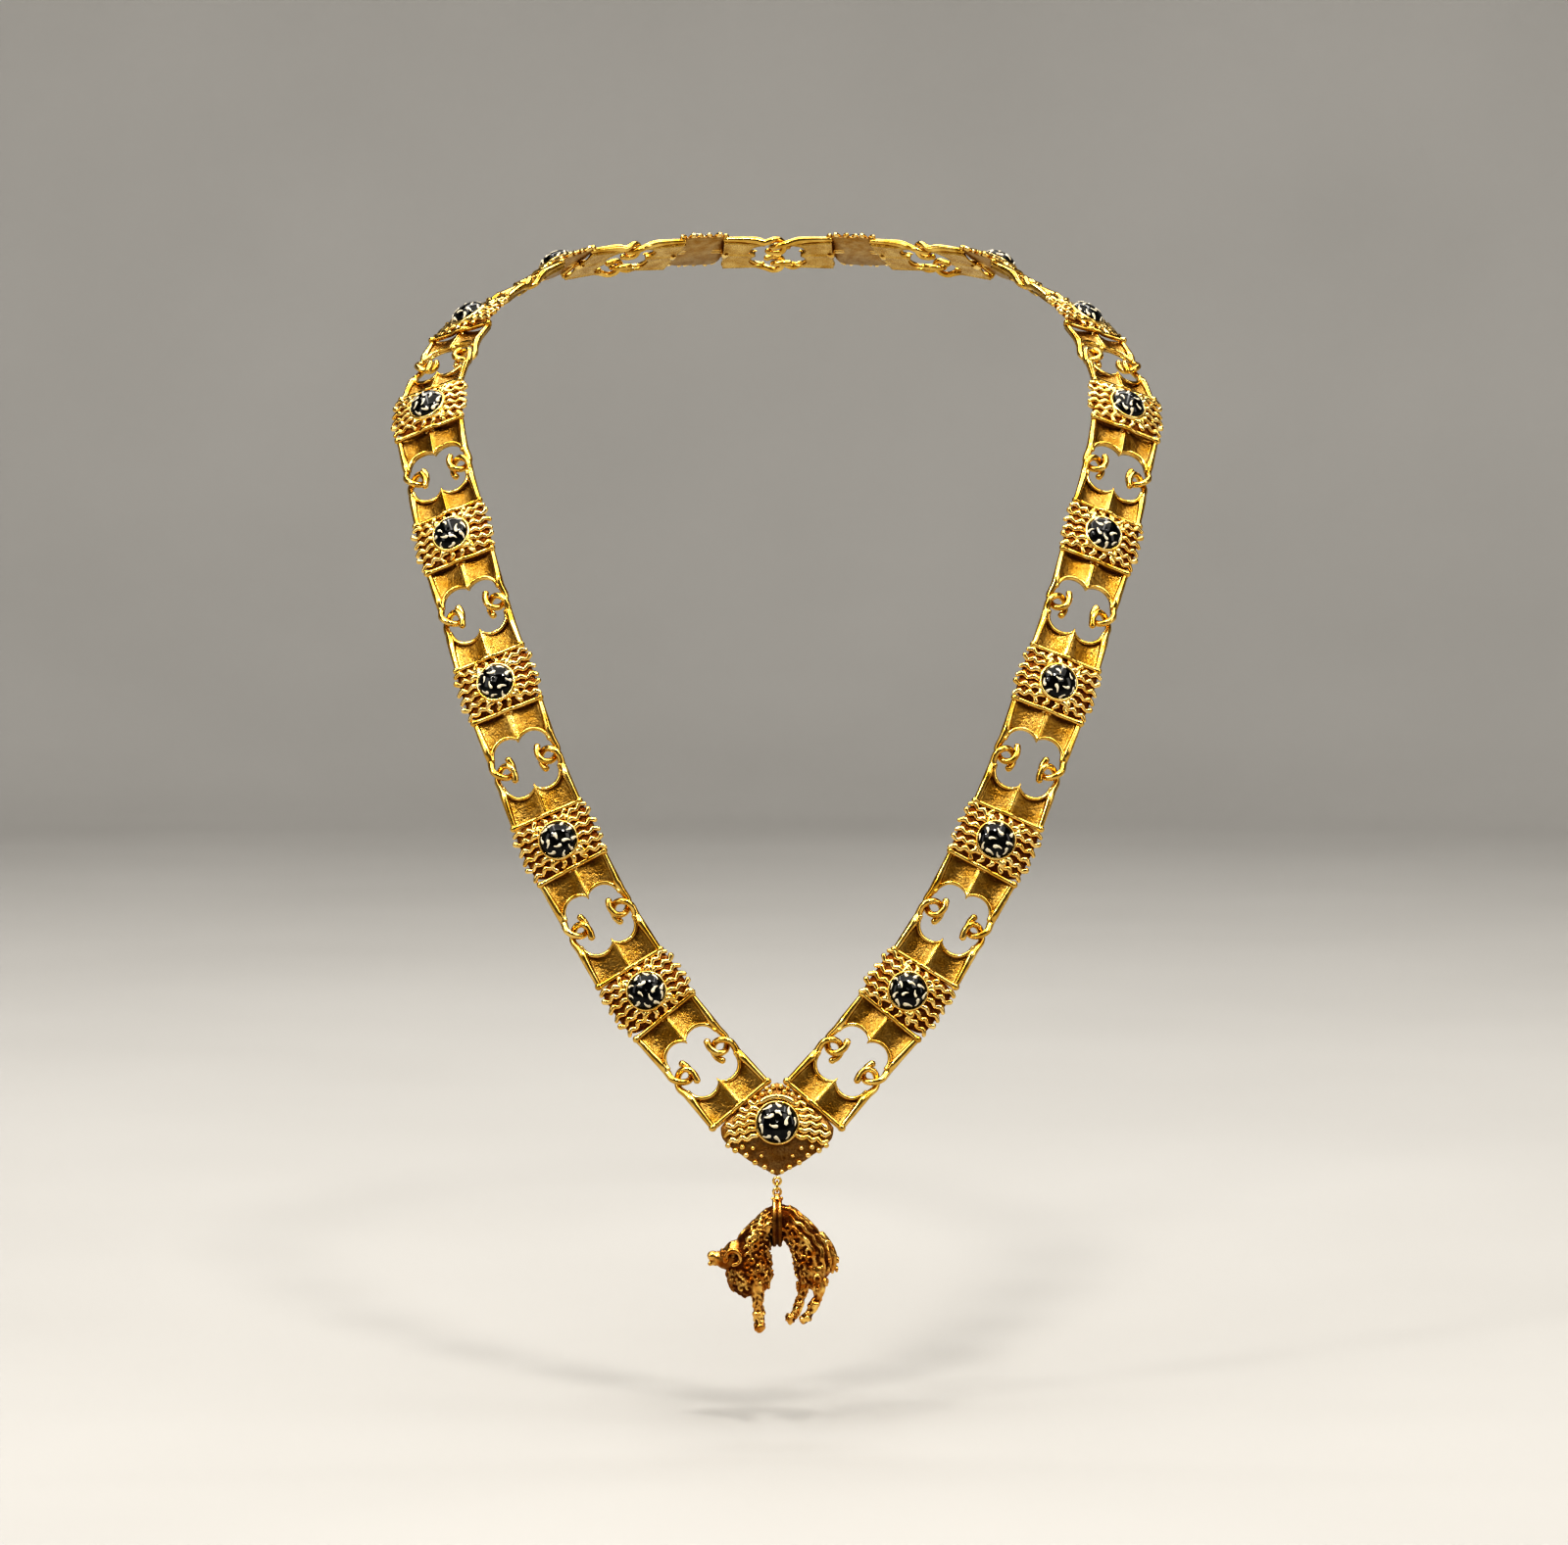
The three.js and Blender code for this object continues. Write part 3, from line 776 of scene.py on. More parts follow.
def flameRay(start, tip, plate, shareAt, flip, draw):
    # a wavy flame with swellings, laid on the ground from the bezel out past its edge
    start, tip = Vector(start), Vector(tip)
    bends = max(2, round((tip - start).length / flame["bend"]))
    across = Vector((start.y - tip.y, tip.x - start.x)).normalized()
    points, thick = [], []
    for step in range(bends + 1):
        share = step / bends
        swing = flip * (-1) ** step * plate["rayWave"] * draw.uniform(*flame["waveDraw"])
        swing *= smooth(0, flame["straight"], share)
        place = start.lerp(tip, share) + across * swing
        lift = groundHeight(plate, shareAt(place.x, place.y)) + plate["rayLift"]
        points.append((place.x, place.y, lift + flame["hop"] * (step % 2)))
        swell = flame["swell"] if step % 2 else flame["waist"]
        width = plate["rayThick"] * lerp(1.0, flame["tip"], share) * swell
        thick.append(width * draw.uniform(*flame["thickDraw"]))
    return wirePath(points, thick)


def settingMeshes():
    seat = stoneSetting
    bezel = lathe("bezel", bezelProfile, seat["bezelSegments"], flintGold)
    profile = [(seat["pole"], seat["foot"]), (seat["radius"], seat["foot"])]
    for ring in range(seat["domeRings"] + 1):
        angle = math.pi / 2 * ring / seat["domeRings"]
        radius = max(seat["radius"] * math.cos(angle), seat["pole"])
        profile.append((radius, seat["seat"] + seat["dome"] * math.sin(angle)))
    return bezel, lathe("stone", profile, seat["segments"], stoneFinish)


def hingeKnuckle(place, turn):
    # a short barrel round the hinge rod, with two tongues that run back under the plate
    half, inner, outer, cut = [knuckle[key] for key in ("half", "inner", "outer", "chamfer")]
    profile = [(inner, -half), (outer - cut, -half), (outer, cut - half)]
    profile += [(outer, half - cut), (outer - cut, half), (inner, half)]
    barrel = lathe("knuckle", profile, knuckle["segments"], flintGold)
    barrel.transform(Matrix.Rotation(math.pi / 2, 4, "X"))
    tongues = [routePath(tongueRoute, y) for y in (-knuckle["tongueSide"], knuckle["tongueSide"])]
    parts = gather("hinge", [barrel, sweepWires("tongues", tongues, flintGold, sides=6, steps=2)])
    parts.transform(Matrix.Translation(Vector(place) * mm) @ Matrix.Rotation(turn, 4, "Z"))
    return parts


def flintRays(plate, draw):
    paths = []
    begin = plate["rayStart"]
    for side in (1, -1):
        for spread in spreads(plate["sideRays"]):
            fan = math.radians(plate["sideFan"] * spread)
            start = (begin * math.sin(fan), side * begin * math.cos(fan))
            reach = plate["sideTip"] - plate["tipFall"] * abs(spread) ** 2 - draw.uniform(0, plate["tipDraw"])
            tip = (plate["sideSpread"] * spread, side * reach)
            paths.append(flameRay(start, tip, plate, squareShare, side, draw))
        for spread in spreads(plate["endRays"]):
            fan = math.asin(plate["endSpread"] * spread / begin)
            start = (side * begin * math.cos(fan), begin * math.sin(fan))
            tip = (side * plate["endTip"], plate["endSpread"] * spread * plate["endFlare"])
            paths.append(flameRay(start, tip, plate, squareShare, side, draw))
    return sweepWires("flameRays", paths, flintGold, sides=7, steps=3)


# White flecks on the stones, scattered over the dome

fleck = {
    "length": 1.9,
    "head": 0.62,
    "tail": 0.16,
    "bend": 1.4,
    "domeRadius": 6.6,
    "steps": 7,
    "headRound": 1.6,
    "leastRound": 0.03,
}
fleckRibs = namedRows("across height", (-1, -0.12), (-0.6, 0.06), (0, 0.1), (0.6, 0.06), (1, -0.12))
fleckScatter = {"Spacing": 2.75 * mm, "Smallest": 1.2, "Largest": 1.6}
densest = 2e6  # scattered pieces on a square metre


def fleckMesh():
    # a curved drop, thick at its head, bent to the dome
    points = []
    for share in shares(fleck["steps"]):
        angle = (share - 0.5) * fleck["length"] / fleck["bend"]
        swell = 1 - (1 - 2 * min(share, 0.5) * fleck["headRound"]) ** 4
        half = lerp(fleck["head"], fleck["tail"], share) * math.sqrt(max(fleck["leastRound"], swell))
        for rib in fleckRibs:
            radius = fleck["bend"] + rib["across"] * half
            x, y = radius * math.sin(angle), radius * math.cos(angle) - fleck["bend"]
            points.append((x, y, rib["height"] - (x * x + y * y) / (2 * fleck["domeRadius"])))
    faces = tubeFaces(fleck["steps"] + 1, len(fleckRibs))
    return faceOutwards(newMesh("fleck", points, faces, enamelFinish))


def scatterTree():
    sizes = {"Piece": "Object", "Spacing": "Float", "Smallest": "Float", "Largest": "Float", "Seed": "Int",
             "Finish": "Material"}
    tree, start, end = newTree("scatteredPieces", sizes)
    spread = addNode(tree, "GeometryNodeDistributePointsOnFaces", distribute_method="POISSON")
    spread.inputs["Density Max"].default_value = densest
    piece = addNode(tree, "GeometryNodeObjectInfo")
    turn = addNode(tree, "FunctionNodeRandomValue", {3: 2 * math.pi}, data_type="FLOAT")
    spin = addNode(tree, "FunctionNodeAxisAngleToRotation", {"Axis": (0, 0, 1)})
    aim = addNode(tree, "FunctionNodeRotateRotation", rotation_space="LOCAL")
    grow = addNode(tree, "FunctionNodeRandomValue", data_type="FLOAT")
    place = addNode(tree, "GeometryNodeInstanceOnPoints")
    real = addNode(tree, "GeometryNodeRealizeInstances")
    finish = addNode(tree, "GeometryNodeSetMaterial")
    chainNodes(tree, start, spread, place, real, finish, end)
    joinSockets(
        tree,
        (start, "Spacing", spread, "Distance Min"),
        (start, "Seed", spread, "Seed"),
        (start, "Piece", piece, "Object"),
        (start, "Seed", turn, "Seed"),
        (start, "Smallest", grow, 2),
        (start, "Largest", grow, 3),
        (start, "Seed", grow, "Seed"),
        (start, "Finish", finish, "Material"),
        (turn, 1, spin, "Angle"),
        (spread, "Rotation", aim, "Rotation"),
        (spin, "Rotation", aim, "Rotate By"),
        (aim, "Rotation", place, "Rotation"),
        (grow, 1, place, "Scale"),
        (piece, "Geometry", place, "Instance"),
    )
    return tree


fleckObject = addObject("fleckPattern", fleckMesh())
scatter = scatterTree()


def flecksOn(stone, seed):
    foot = (stoneSetting["seat"] + stoneSetting["fleckFoot"]) * mm
    dome = trimFaces(stone.copy(), lambda face: face.calc_center_median().z < foot)
    values = {**fleckScatter, "Piece": fleckObject, "Seed": seed, "Finish": enamelFinish}
    return shapeByTree(dome, scatter, values)


rayDraw = random.Random(flintPlate["seed"])
bezelMesh, stoneMesh = settingMeshes()
flintParts = [flintGround(flintPlate, squareOutline, "flintGround"), bezelMesh, stoneMesh]
flintHinge = Vector((flintPlate["span"] / 2, 0, 0))
flintParts += [hingeKnuckle(flintHinge, 0), hingeKnuckle(-flintHinge, math.pi)]
flintMasters = []
for variant in range(flintPlate["variants"]):
    flintMasters.append(gather("flintPlate", flintParts + [flintRays(flintPlate, rayDraw)]))
print("flint plate made:", [len(mesh.polygons) for mesh in flintMasters], "faces")


# Centreline of one half, from the front hinge to the nape, mm, and the way that a link's face looks there

route = namedRows(
    "across back up facing tilt",
    (11.1, -224.3, -262.5, 0, 17),
    (41, -212, -228, 3, 18),
    (68, -198, -182, 8, 19),
    (87, -179, -135, 15, 23),
    (102, -151, -90, 22, 32),
    (111, -114, -50, 35, 46),
    (98, -69, -22, 68, 58),
    (70, -26, -5, 120, 66),
    (28, -2.5, 0, 165, 68),
    (0, 0, 0, 180, 68),
)
modulesPerSide = 8
lineSteps = 2000


def faceVector(row, side):
    facing, tilt = math.radians(row["facing"]), math.radians(row["tilt"])
    level = math.cos(tilt)
    return Vector((side * math.sin(facing) * level, -math.cos(facing) * level, math.sin(tilt)))


def layLinks(side, sideName):
    line = [Vector((side * row["across"], row["back"], row["up"])) for row in route]
    faces = [faceVector(row, side) for row in route]
    stops = [catmullRom(line, share) for share in shares(lineSteps)]
    run = np.concatenate([[0], np.cumsum([(b - a).length for a, b in zip(stops, stops[1:])])])
    nominal = modulesPerSide * (2 * steelLink["reach"] + flintPlate["span"]) + steelLink["reach"]

    def along(distance):
        return float(np.interp(distance / nominal * run[-1], run, np.arange(lineSteps + 1))) / lineSteps

    def lay(node, mesh, slot, start, end, faceAt, originShare):
        first, last = catmullRom(line, along(start)), catmullRom(line, along(end))
        ahead = (last - first).normalized()
        face = catmullRom(faces, along(faceAt))
        face = (face - ahead * face.dot(ahead)).normalized()
        if originShare == 1:
            ahead = -ahead
        turn = Matrix((ahead, face.cross(ahead), face)).transposed().to_4x4()
        laid = mesh.copy()
        laid.transform(Matrix.Translation(first.lerp(last, originShare) * mm) @ turn)
        finishPiece(laid, "collar", slot, node)

    hinge = 0
    link = steelMasters[-side]
    for module in range(1, modulesPerSide + 1):
        hook = hinge + steelLink["reach"]
        nextHinge = hook + steelLink["reach"]
        flintEnd = nextHinge + flintPlate["span"]
        lay(f"steel_{sideName}_{2 * module - 1}", link, "steel", hinge, hook, hook, 0)
        lay(f"steel_{sideName}_{2 * module}", link, "steel", hook, nextHinge, hook, 1)
        seed = 2 * module + (side > 0)
        plate = gather("flint", [flintMasters[seed % len(flintMasters)], flecksOn(stoneMesh, seed)])
        middle = (nextHinge + flintEnd) / 2
        lay(f"flint_{sideName}_{module}", plate, "flint", nextHinge, flintEnd, middle, 0.5)
        hinge = flintEnd
    nape = hinge + steelLink["reach"]
    lay(f"steel_{sideName}_{2 * modulesPerSide + 1}", steelMasters[1], "steel", hinge, nape, nape, 0)


layLinks(-1, "left")
layLinks(1, "right")
print("links laid")


# Front plate: x to the right, y up, z to the front, mm, from the middle of its stone

frontFlint = {
    **flintPlate,
    "top": 3.3,
    "groundShade": 0.78,
    "segments": 96,
    "groundShare": 0.95,
    "rayThick": 0.92,
    "settingScale": 1.08,
    "fleckSeed": 40,
    "crestRadius": 8.0,
    "crestHalf": 36,  # degrees
    "crestThick": 0.95,
    "crestPoints": 9,
    "beadLift": 0.6,
    "beadRun": 0.25,
    "beadSwell": 1.15,
}
frontReach = namedRows(  # reach of the plate, degrees counted up from the right
    "angle reach",
    (-90, 16.4),
    (-76, 14.9),
    (-60, 14.4),
    (-40, 14.9),
    (-14, 17.9),
    (-4, 17.8),
    (14, 13.8),
    (32, 11.7),
    (50, 11.2),
    (72, 11.7),
    (90, 13.2),
)
frontRays = namedRows(  # one half: where a ray leaves the stone and where it ends
    "across up tipAcross tipUp",
    (4.4, 6.1, 8.3, 6.0),
    (5.9, 4.2, 10.8, 3.9),
    (6.7, 2.2, 13.2, 1.5),
    (7.0, 0.1, 14.9, -0.9),
    (6.8, -2.0, 15.8, -3.3),
    (6.2, -4.0, 15.0, -5.7),
)
frontBeads = namedRows(  # knobs on the bare ground of one half
    "across up thick",
    (10.4, -7.3, 0.78),
    (7.2, -7.7, 0.62),
    (14.7, -6.7, 0.72),
    (12.5, -8.2, 0.8),
    (9.2, -9.7, 0.78),
    (4.6, -10.0, 0.52),
    (6.5, -11.9, 0.76),
    (3.6, -13.3, 0.72),
    (1.3, -14.7, 0.62),
    (2.1, 9.6, 0.85),
    (4.4, 8.9, 0.75),
    (6.5, 8.0, 0.62),
    (1.0, 11.3, 0.8),
    (3.1, 10.9, 0.62),
)
frontHinge = {"across": 11.1, "up": 5.7, "chainAngle": 51}
plateEye = {"radius": 1.1, "wire": 0.4, "midHeight": 1.6}
ringPoints = 16


def groundReach(angle):
    degrees = math.degrees(math.asin(math.sin(angle)))
    reach = float(np.interp(degrees, columnOf(frontReach, "angle"), columnOf(frontReach, "reach")))
    return reach * frontFlint["groundShare"]


def frontOutline(angle):
    reach = groundReach(angle)
    return reach * math.cos(angle), reach * math.sin(angle)


def frontShare(x, y):
    return math.hypot(x, y) / groundReach(math.atan2(y, x))


def frontHeight(x, y):
    return groundHeight(frontFlint, frontShare(x, y))


def frontPlateMesh():
    paths = []
    for side in (1, -1):
        for ray in frontRays:
            start, tip = (side * ray["across"], ray["up"]), (side * ray["tipAcross"], ray["tipUp"])
            paths.append(flameRay(start, tip, frontFlint, frontShare, 1, rayDraw))
        for bead in frontBeads:
            x, y = side * bead["across"], bead["up"]
            z = frontHeight(x, y) + frontFlint["beadLift"] * bead["thick"]
            end = (x + frontFlint["beadRun"] * side, y, z)
            paths.append(wirePath([(x, y, z), end], frontFlint["beadSwell"] * bead["thick"]))
    crest = []
    for spread in spreads(frontFlint["crestPoints"]):
        angle = math.radians(90 + frontFlint["crestHalf"] * spread)
        x, y = frontFlint["crestRadius"] * math.cos(angle), frontFlint["crestRadius"] * math.sin(angle)
        crest.append((x, y, frontHeight(x, y) + frontFlint["crestThick"]))
    paths.append(wirePath(crest, frontFlint["crestThick"]))
    setting = gather("frontSetting", [bezelMesh, stoneMesh, flecksOn(stoneMesh, frontFlint["fleckSeed"])])
    setting.transform(Matrix.Diagonal((frontFlint["settingScale"], frontFlint["settingScale"], 1, 1)))
    parts = [flintGround(frontFlint, frontOutline, "frontGround"), setting]
    parts.append(sweepWires("frontRays", paths, flintGold, sides=8, steps=3))
    for side in (1, -1):
        turn = math.radians(frontHinge["chainAngle"])
        place = (side * frontHinge["across"], frontHinge["up"], 0)
        parts.append(hingeKnuckle(place, turn if side > 0 else math.pi - turn))
    made = gather("frontPlate", parts)
    lean = Matrix.Rotation(math.radians(90 - frontPlate["tilt"]), 4, "X")
    place = Matrix.Translation(Vector((0, frontPlate["back"], frontPlate["up"])) * mm) @ lean
    made.transform(place)
    foot = place @ (Vector((0, -frontReach[0]["reach"], plateEye["midHeight"])) * mm) / mm
    return made, foot - Vector((0, 0, plateEye["radius"]))


def ringPath(middle, radius, wire, axis):
    # a closed wire ring with its hole along the axis
    first = Vector((0, 0, 1))
    second = Vector(axis).cross(first)
    points = []
    for turn in turns(ringPoints):
        points.append(middle + first * radius * math.cos(turn) + second * radius * math.sin(turn))
    return wirePath(points, wire, closed=True)


frontMesh, eyeMiddle = frontPlateMesh()
eyeWire = ringPath(eyeMiddle, plateEye["radius"], plateEye["wire"], (0, 1, 0))
eyeMesh = sweepWires("plateEye", [eyeWire], flintGold, sides=10, steps=3)
finishPiece(gather("frontPlate", [frontMesh, eyeMesh]), "collar", "flint", "flint_front")
print("front plate made")


# Ring, and the band round the fleece with its bar and eye

jumpRing = {"radius": 1.5, "wire": 0.4}
ringGap = 0.15
band = {
    "halfWidth": 1.45,
    "wall": 0.7,
    "depthGap": 0.5,
    "heightGap": 0.6,
    "barHeight": 1.5,
    "barHalf": 1.9,
    "barThick": 0.55,
    "edgeWire": 0.62,
    "edgeSegments": 24,
    "segments": 48,
    "neckFoot": 1.35,
    "neckTop": 0.75,
    "neckFlare": 0.4,
    # painted shade: on the band below brightDrop, darkest at its foot, and in its groove
    "brightDrop": 2.4,
    "footShade": 0.8,
    "grooveShade": 0.9,
}
bandSection = namedRows(  # shares of the half width and of the wall
    "across out groove",
    (-1, 0, False),
    (-1, 1, False),
    (-0.5, 1, False),
    (-0.3, 0.45, True),
    (0.3, 0.45, True),
    (0.5, 1, False),
    (1, 1, False),
    (1, 0, False),
)
waist = {"half": 6.0, "deep": 4.2, "z": -6.6}  # the fleece's section under the band

ringMiddle = eyeMiddle - Vector((0, 0, plateEye["radius"] - plateEye["wire"] - jumpRing["wire"] - ringGap))
ringMiddle -= Vector((0, 0, jumpRing["radius"]))
ringWire = ringPath(ringMiddle, jumpRing["radius"], jumpRing["wire"], (1, 0, 0))
finishPiece(sweepWires("ring", [ringWire], steelGold, sides=12, steps=3), "ring", "steel", "jump_ring")

bailTop = ringMiddle.z - jumpRing["radius"] + jumpRing["wire"] + plateEye["wire"] + ringGap
bailMiddle = Vector((0, eyeMiddle.y, bailTop - plateEye["radius"]))
barMiddle = bailMiddle - Vector((0, 0, plateEye["radius"] + band["barHeight"] / 2))
strapMiddle = barMiddle - Vector((0, 0, band["barHeight"] / 2 + waist["half"] + band["heightGap"]))


def bandPoint(x, out, angle):
    # a place on the loop round the waist, and its painted shade: dark below, a shadow painted there for light
    # from above
    deep = waist["deep"] + band["depthGap"] + out
    tall = waist["half"] + band["heightGap"] + out
    drop = tall * (1 - math.cos(angle))
    shade = band["footShade"] * smooth(band["brightDrop"], 2 * band["brightDrop"], drop)
    return strapMiddle + Vector((x, deep * math.sin(angle), tall * math.cos(angle))), shade


def bandMesh():
    # a strap with two raised edges, a rounded bar on top and a tapered neck up to its eye
    wide, wall = band["halfWidth"], band["wall"]
    points, shade = [], []
    for angle in turns(band["segments"]):
        for row in bandSection:
            place, dark = bandPoint(row["across"] * wide, row["out"] * wall, angle)
            points.append(place)
            shade.append(band["grooveShade"] if row["groove"] else dark)
    faces = tubeFaces(band["segments"], len(bandSection), closed=True)
    strap = faceOutwards(newMesh("strap", points, faces, fleeceGold, shade))
    wires = []
    for edge in (band["edgeWire"] - wide, wide - band["edgeWire"]):
        loop = [bandPoint(edge, 0.5 * wall, angle) for angle in turns(band["edgeSegments"])]
        places, darks = zip(*loop)
        wires.append(wirePath(places, band["edgeWire"], closed=True, shade=darks))
    wires.append(ringPath(bailMiddle, plateEye["radius"], plateEye["wire"], (0, 1, 0)))
    barFoot = barMiddle - Vector((0, 0, band["barHeight"] / 2 - band["barThick"]))
    barEnd = Vector((band["barHalf"] - band["barThick"], 0, 0))
    wires.append(wirePath([barFoot - barEnd, barFoot, barFoot + barEnd], band["barThick"]))
    neckTop = bailMiddle - Vector((0, 0, plateEye["radius"]))
    neckMiddle = lerp(band["neckTop"], band["neckFoot"], band["neckFlare"])
    neckThick = [band["neckTop"], neckMiddle, band["neckFoot"]]
    wires.append(wirePath([neckTop, neckTop.lerp(barFoot, 0.5), barFoot], neckThick))
    return gather("bellyBand", [strap, sweepWires("bandWires", wires, fleeceGold, sides=10, steps=3)])


finishPiece(bandMesh(), "pendant", "fleece", "belly_band")
print("ring and band made")


# Fleece: measured from the middle of its back, x along it, z up, mm

ram = {
    "balance": 0.7,
    "voxel": 0.23,
    "along": 90,
    "around": 40,
    "headAlong": 40,
    "headAround": 28,
    "legSide": 2.3,
    "beadRun": 0.3,
    "lumps": 0.1,
    "legLumps": 0.7,
    "lumpGrain": 1.3,
    "lumpFade": 2,
    "dentShade": 4,
    "woolFoot": -26.5,
    "rootShade": 0.75,
    "hollowRounds": 18,
    "hollowDepth": 0.32,
    "hollowBias": 0.25,
    "combedBreast": 0.3,  # how far up a face looks where locks take the place of curls
    "combedRump": 0.02,
    "combedFoot": -20,
}
bodySections = namedRows(
    "x z half deep",
    (-7.4, -28.2, 3.9, 3.0),
    (-8.7, -24.2, 6.3, 4.2),
    (-9.0, -18.6, 6.5, 4.5),
    (-7.2, -12.7, 4.7, 4.1),
    (-4.0, -8.6, 3.9, 3.8),
    (0.0, -6.6, 5.5, 3.9),
    (4.0, -8.5, 4.4, 3.9),
    (7.9, -12.4, 4.7, 4.1),
    (10.0, -17.0, 5.6, 4.2),
    (9.6, -22.0, 4.7, 3.7),
    (9.2, -25.0, 2.8, 2.6),
)
headSections = namedRows(
    "x z half deep",
    (-10.0, -15.5, 4.4, 3.4),
    (-13.8, -17.3, 4.8, 3.3),
    (-17.0, -17.8, 3.1, 2.4),
    (-19.2, -17.4, 1.9, 1.7),
    (-20.4, -17.2, 1.3, 1.2),
)
frontLeg = namedRows(
    "x z thick",
    (-6.6, -25.5, 2.5),
    (-6.6, -28.4, 1.95),
    (-6.5, -30.8, 1.6),
    (-6.4, -33.2, 1.5),
    (-6.2, -34.6, 1.85),
    (-6.0, -36.4, 1.55),
)
innerHindLeg = namedRows(
    "x z thick",
    (8.4, -22.5, 2.3),
    (7.2, -27.4, 1.65),
    (6.6, -30.2, 1.3),
    (5.9, -32.0, 1.6),
    (4.9, -34.8, 1.2),
)
outerHindLeg = namedRows(
    "x z thick",
    (11.0, -21.0, 2.8),
    (12.2, -26.3, 1.9),
    (11.6, -29.2, 1.35),
    (10.4, -31.6, 1.65),
    (9.2, -34.2, 1.2),
)
tailRoute = namedRows(
    "x z thick",
    (12.6, -10.8, 1.4),
    (15.2, -14.2, 1.35),
    (16.3, -17.8, 1.25),
    (16.0, -21.0, 0.75),
)
horn = {
    "x": -13.9,
    "z": -17.0,
    "side": 3.8,
    "radius": 2.4,
    "innerRadius": 2.0,
    "wire": 0.92,
    "tipWire": 0.66,
    "flare": 0.5,
    "startAngle": 200,
    "turn": 290,
    "steps": 18,
    "lockGap": 1.2,  # bare of locks and of curls round it
    "curlGap": 1.6,
}
face = namedRows(  # beads that shape the head, on both sides where side is not 0
    "x side z thick",
    (-20.0, 0, -17.0, 1.7),  # nose
    (-19.2, 0, -18.9, 1.15),  # jaw
    (-20.8, 0, -19.3, 0.68),  # lip
    (-20.9, 0.8, -16.5, 0.45),  # nostril
    (-17.0, 1.9, -15.6, 0.75),  # brow
    (-17.1, 2.3, -16.6, 0.42),  # eye
    (-13.8, 3.5, -16.4, 0.7),  # ear
)
cheek = {  # painted shade on the cheeks and throat, clear of the horns and the brow, each pair from clear to dark
    "shade": 0.6,
    "back": (-11.4, -13.2),
    "front": (-19.0, -17.6),
    "top": (-13.8, -15.4),
    "fromHorn": (0.1, 0.4),
}
hoof = namedRows(  # one toe, from the pastern down
    "ahead apart drop thick",
    (0.0, 0.3, -0.9, 1.15),
    (0.6, 0.55, 0.1, 1.6),
    (1.3, 0.6, 0.5, 1.65),
)
frontHoof = {"x": -5.9, "z": -37.6, "lean": 0.1}
innerHoof = {"x": 4.5, "z": -35.9, "lean": 1.0}
outerHoof = {"x": 8.9, "z": -35.2, "lean": 1.0}
combed = namedRows(  # long locks from the band to each end, spread in degrees each way from the back's middle
    "start end spread rows locks thick wave",
    (0.52, 0.86, 84, 7, 2, 0.82, 0.08),
    (0.48, 0.16, 84, 8, 3, 0.74, 0.14),
)
lockShape = {
    "rootLift": 0.0,
    "tipLift": 0.35,
    "steps": 9,
    "waves": 4.5,  # half turns
    "taper": (0.25, 0.9),  # part of a half sine from root to tip
    "startDraw": (-0.1, 0.35),
    "lengthDraw": (0.95, 1.25),
    "seed": 23,
}
curl = {"radius": 0.95, "inner": 0.5, "turns": 0.72, "rise": 0.4, "thick": 0.4, "tip": 0.34, "steps": 7}
curlScatter = {"Spacing": 2.0 * mm, "Smallest": 1.0, "Largest": 1.45, "Seed": 5}
slopeStep = 0.01


def sectionAt(rows, t):
    keys = ("x", "z", "half", "deep")
    columns = [Vector([row[key] for key in keys]) for row in rows]
    return dict(zip(keys, catmullRom(columns, min(1, max(0, t)))))


def bodyPoint(rows, t, angle, lift=0.0):
    # angle is counted from the top of the back, the side towards the viewer being negative
    here = sectionAt(rows, t)
    before, after = sectionAt(rows, t - slopeStep), sectionAt(rows, t + slopeStep)
    ahead = Vector((after["x"] - before["x"], 0, after["z"] - before["z"])).normalized()
    outward = Vector((-ahead.z, 0, ahead.x))
    middle = Vector((here["x"], 0, here["z"]))
    tall, deep = here["half"] + lift, here["deep"] + lift
    return middle + outward * tall * math.cos(angle) + Vector((0, deep * math.sin(angle), 0))


def trunkMesh(name, rows, along, around):
    points = []
    for share in shares(along):
        points += [bodyPoint(rows, share, angle) for angle in turns(around)]
    return faceOutwards(newMesh(name, points, tubeFaces(along + 1, around), fleeceGold))


def fromHorn(place):
    return math.hypot(place.x - horn["x"], place.z - horn["z"]) - horn["radius"]


def combedLocks(draw):
    # wavy locks along the back and flanks, each lying over the next one's root
    paths = []
    for group in combed:
        run = (group["end"] - group["start"]) / group["locks"]
        for across in shares(group["rows"] - 1):
            middle = math.radians(lerp(-group["spread"], group["spread"], across))
            for lock in range(group["locks"]):
                start = group["start"] + run * (lock + draw.uniform(*lockShape["startDraw"]))
                length = run * draw.uniform(*lockShape["lengthDraw"])
                phase = draw.uniform(0, 2 * math.pi)
                points, thick = [], []
                for share in shares(lockShape["steps"]):
                    swing = group["wave"] * math.sin(phase + lockShape["waves"] * math.pi * share)
                    lift = lerp(lockShape["rootLift"], lockShape["tipLift"], share)
                    points.append(bodyPoint(bodySections, start + length * share, middle + swing, lift))
                    thick.append(group["thick"] * math.sin(math.pi * lerp(*lockShape["taper"], share)))
                if min(fromHorn(point) for point in points) > horn["lockGap"]:
                    paths.append(wirePath(points, thick))
    return sweepWires("combedLocks", paths, fleeceGold, sides=6, steps=2)


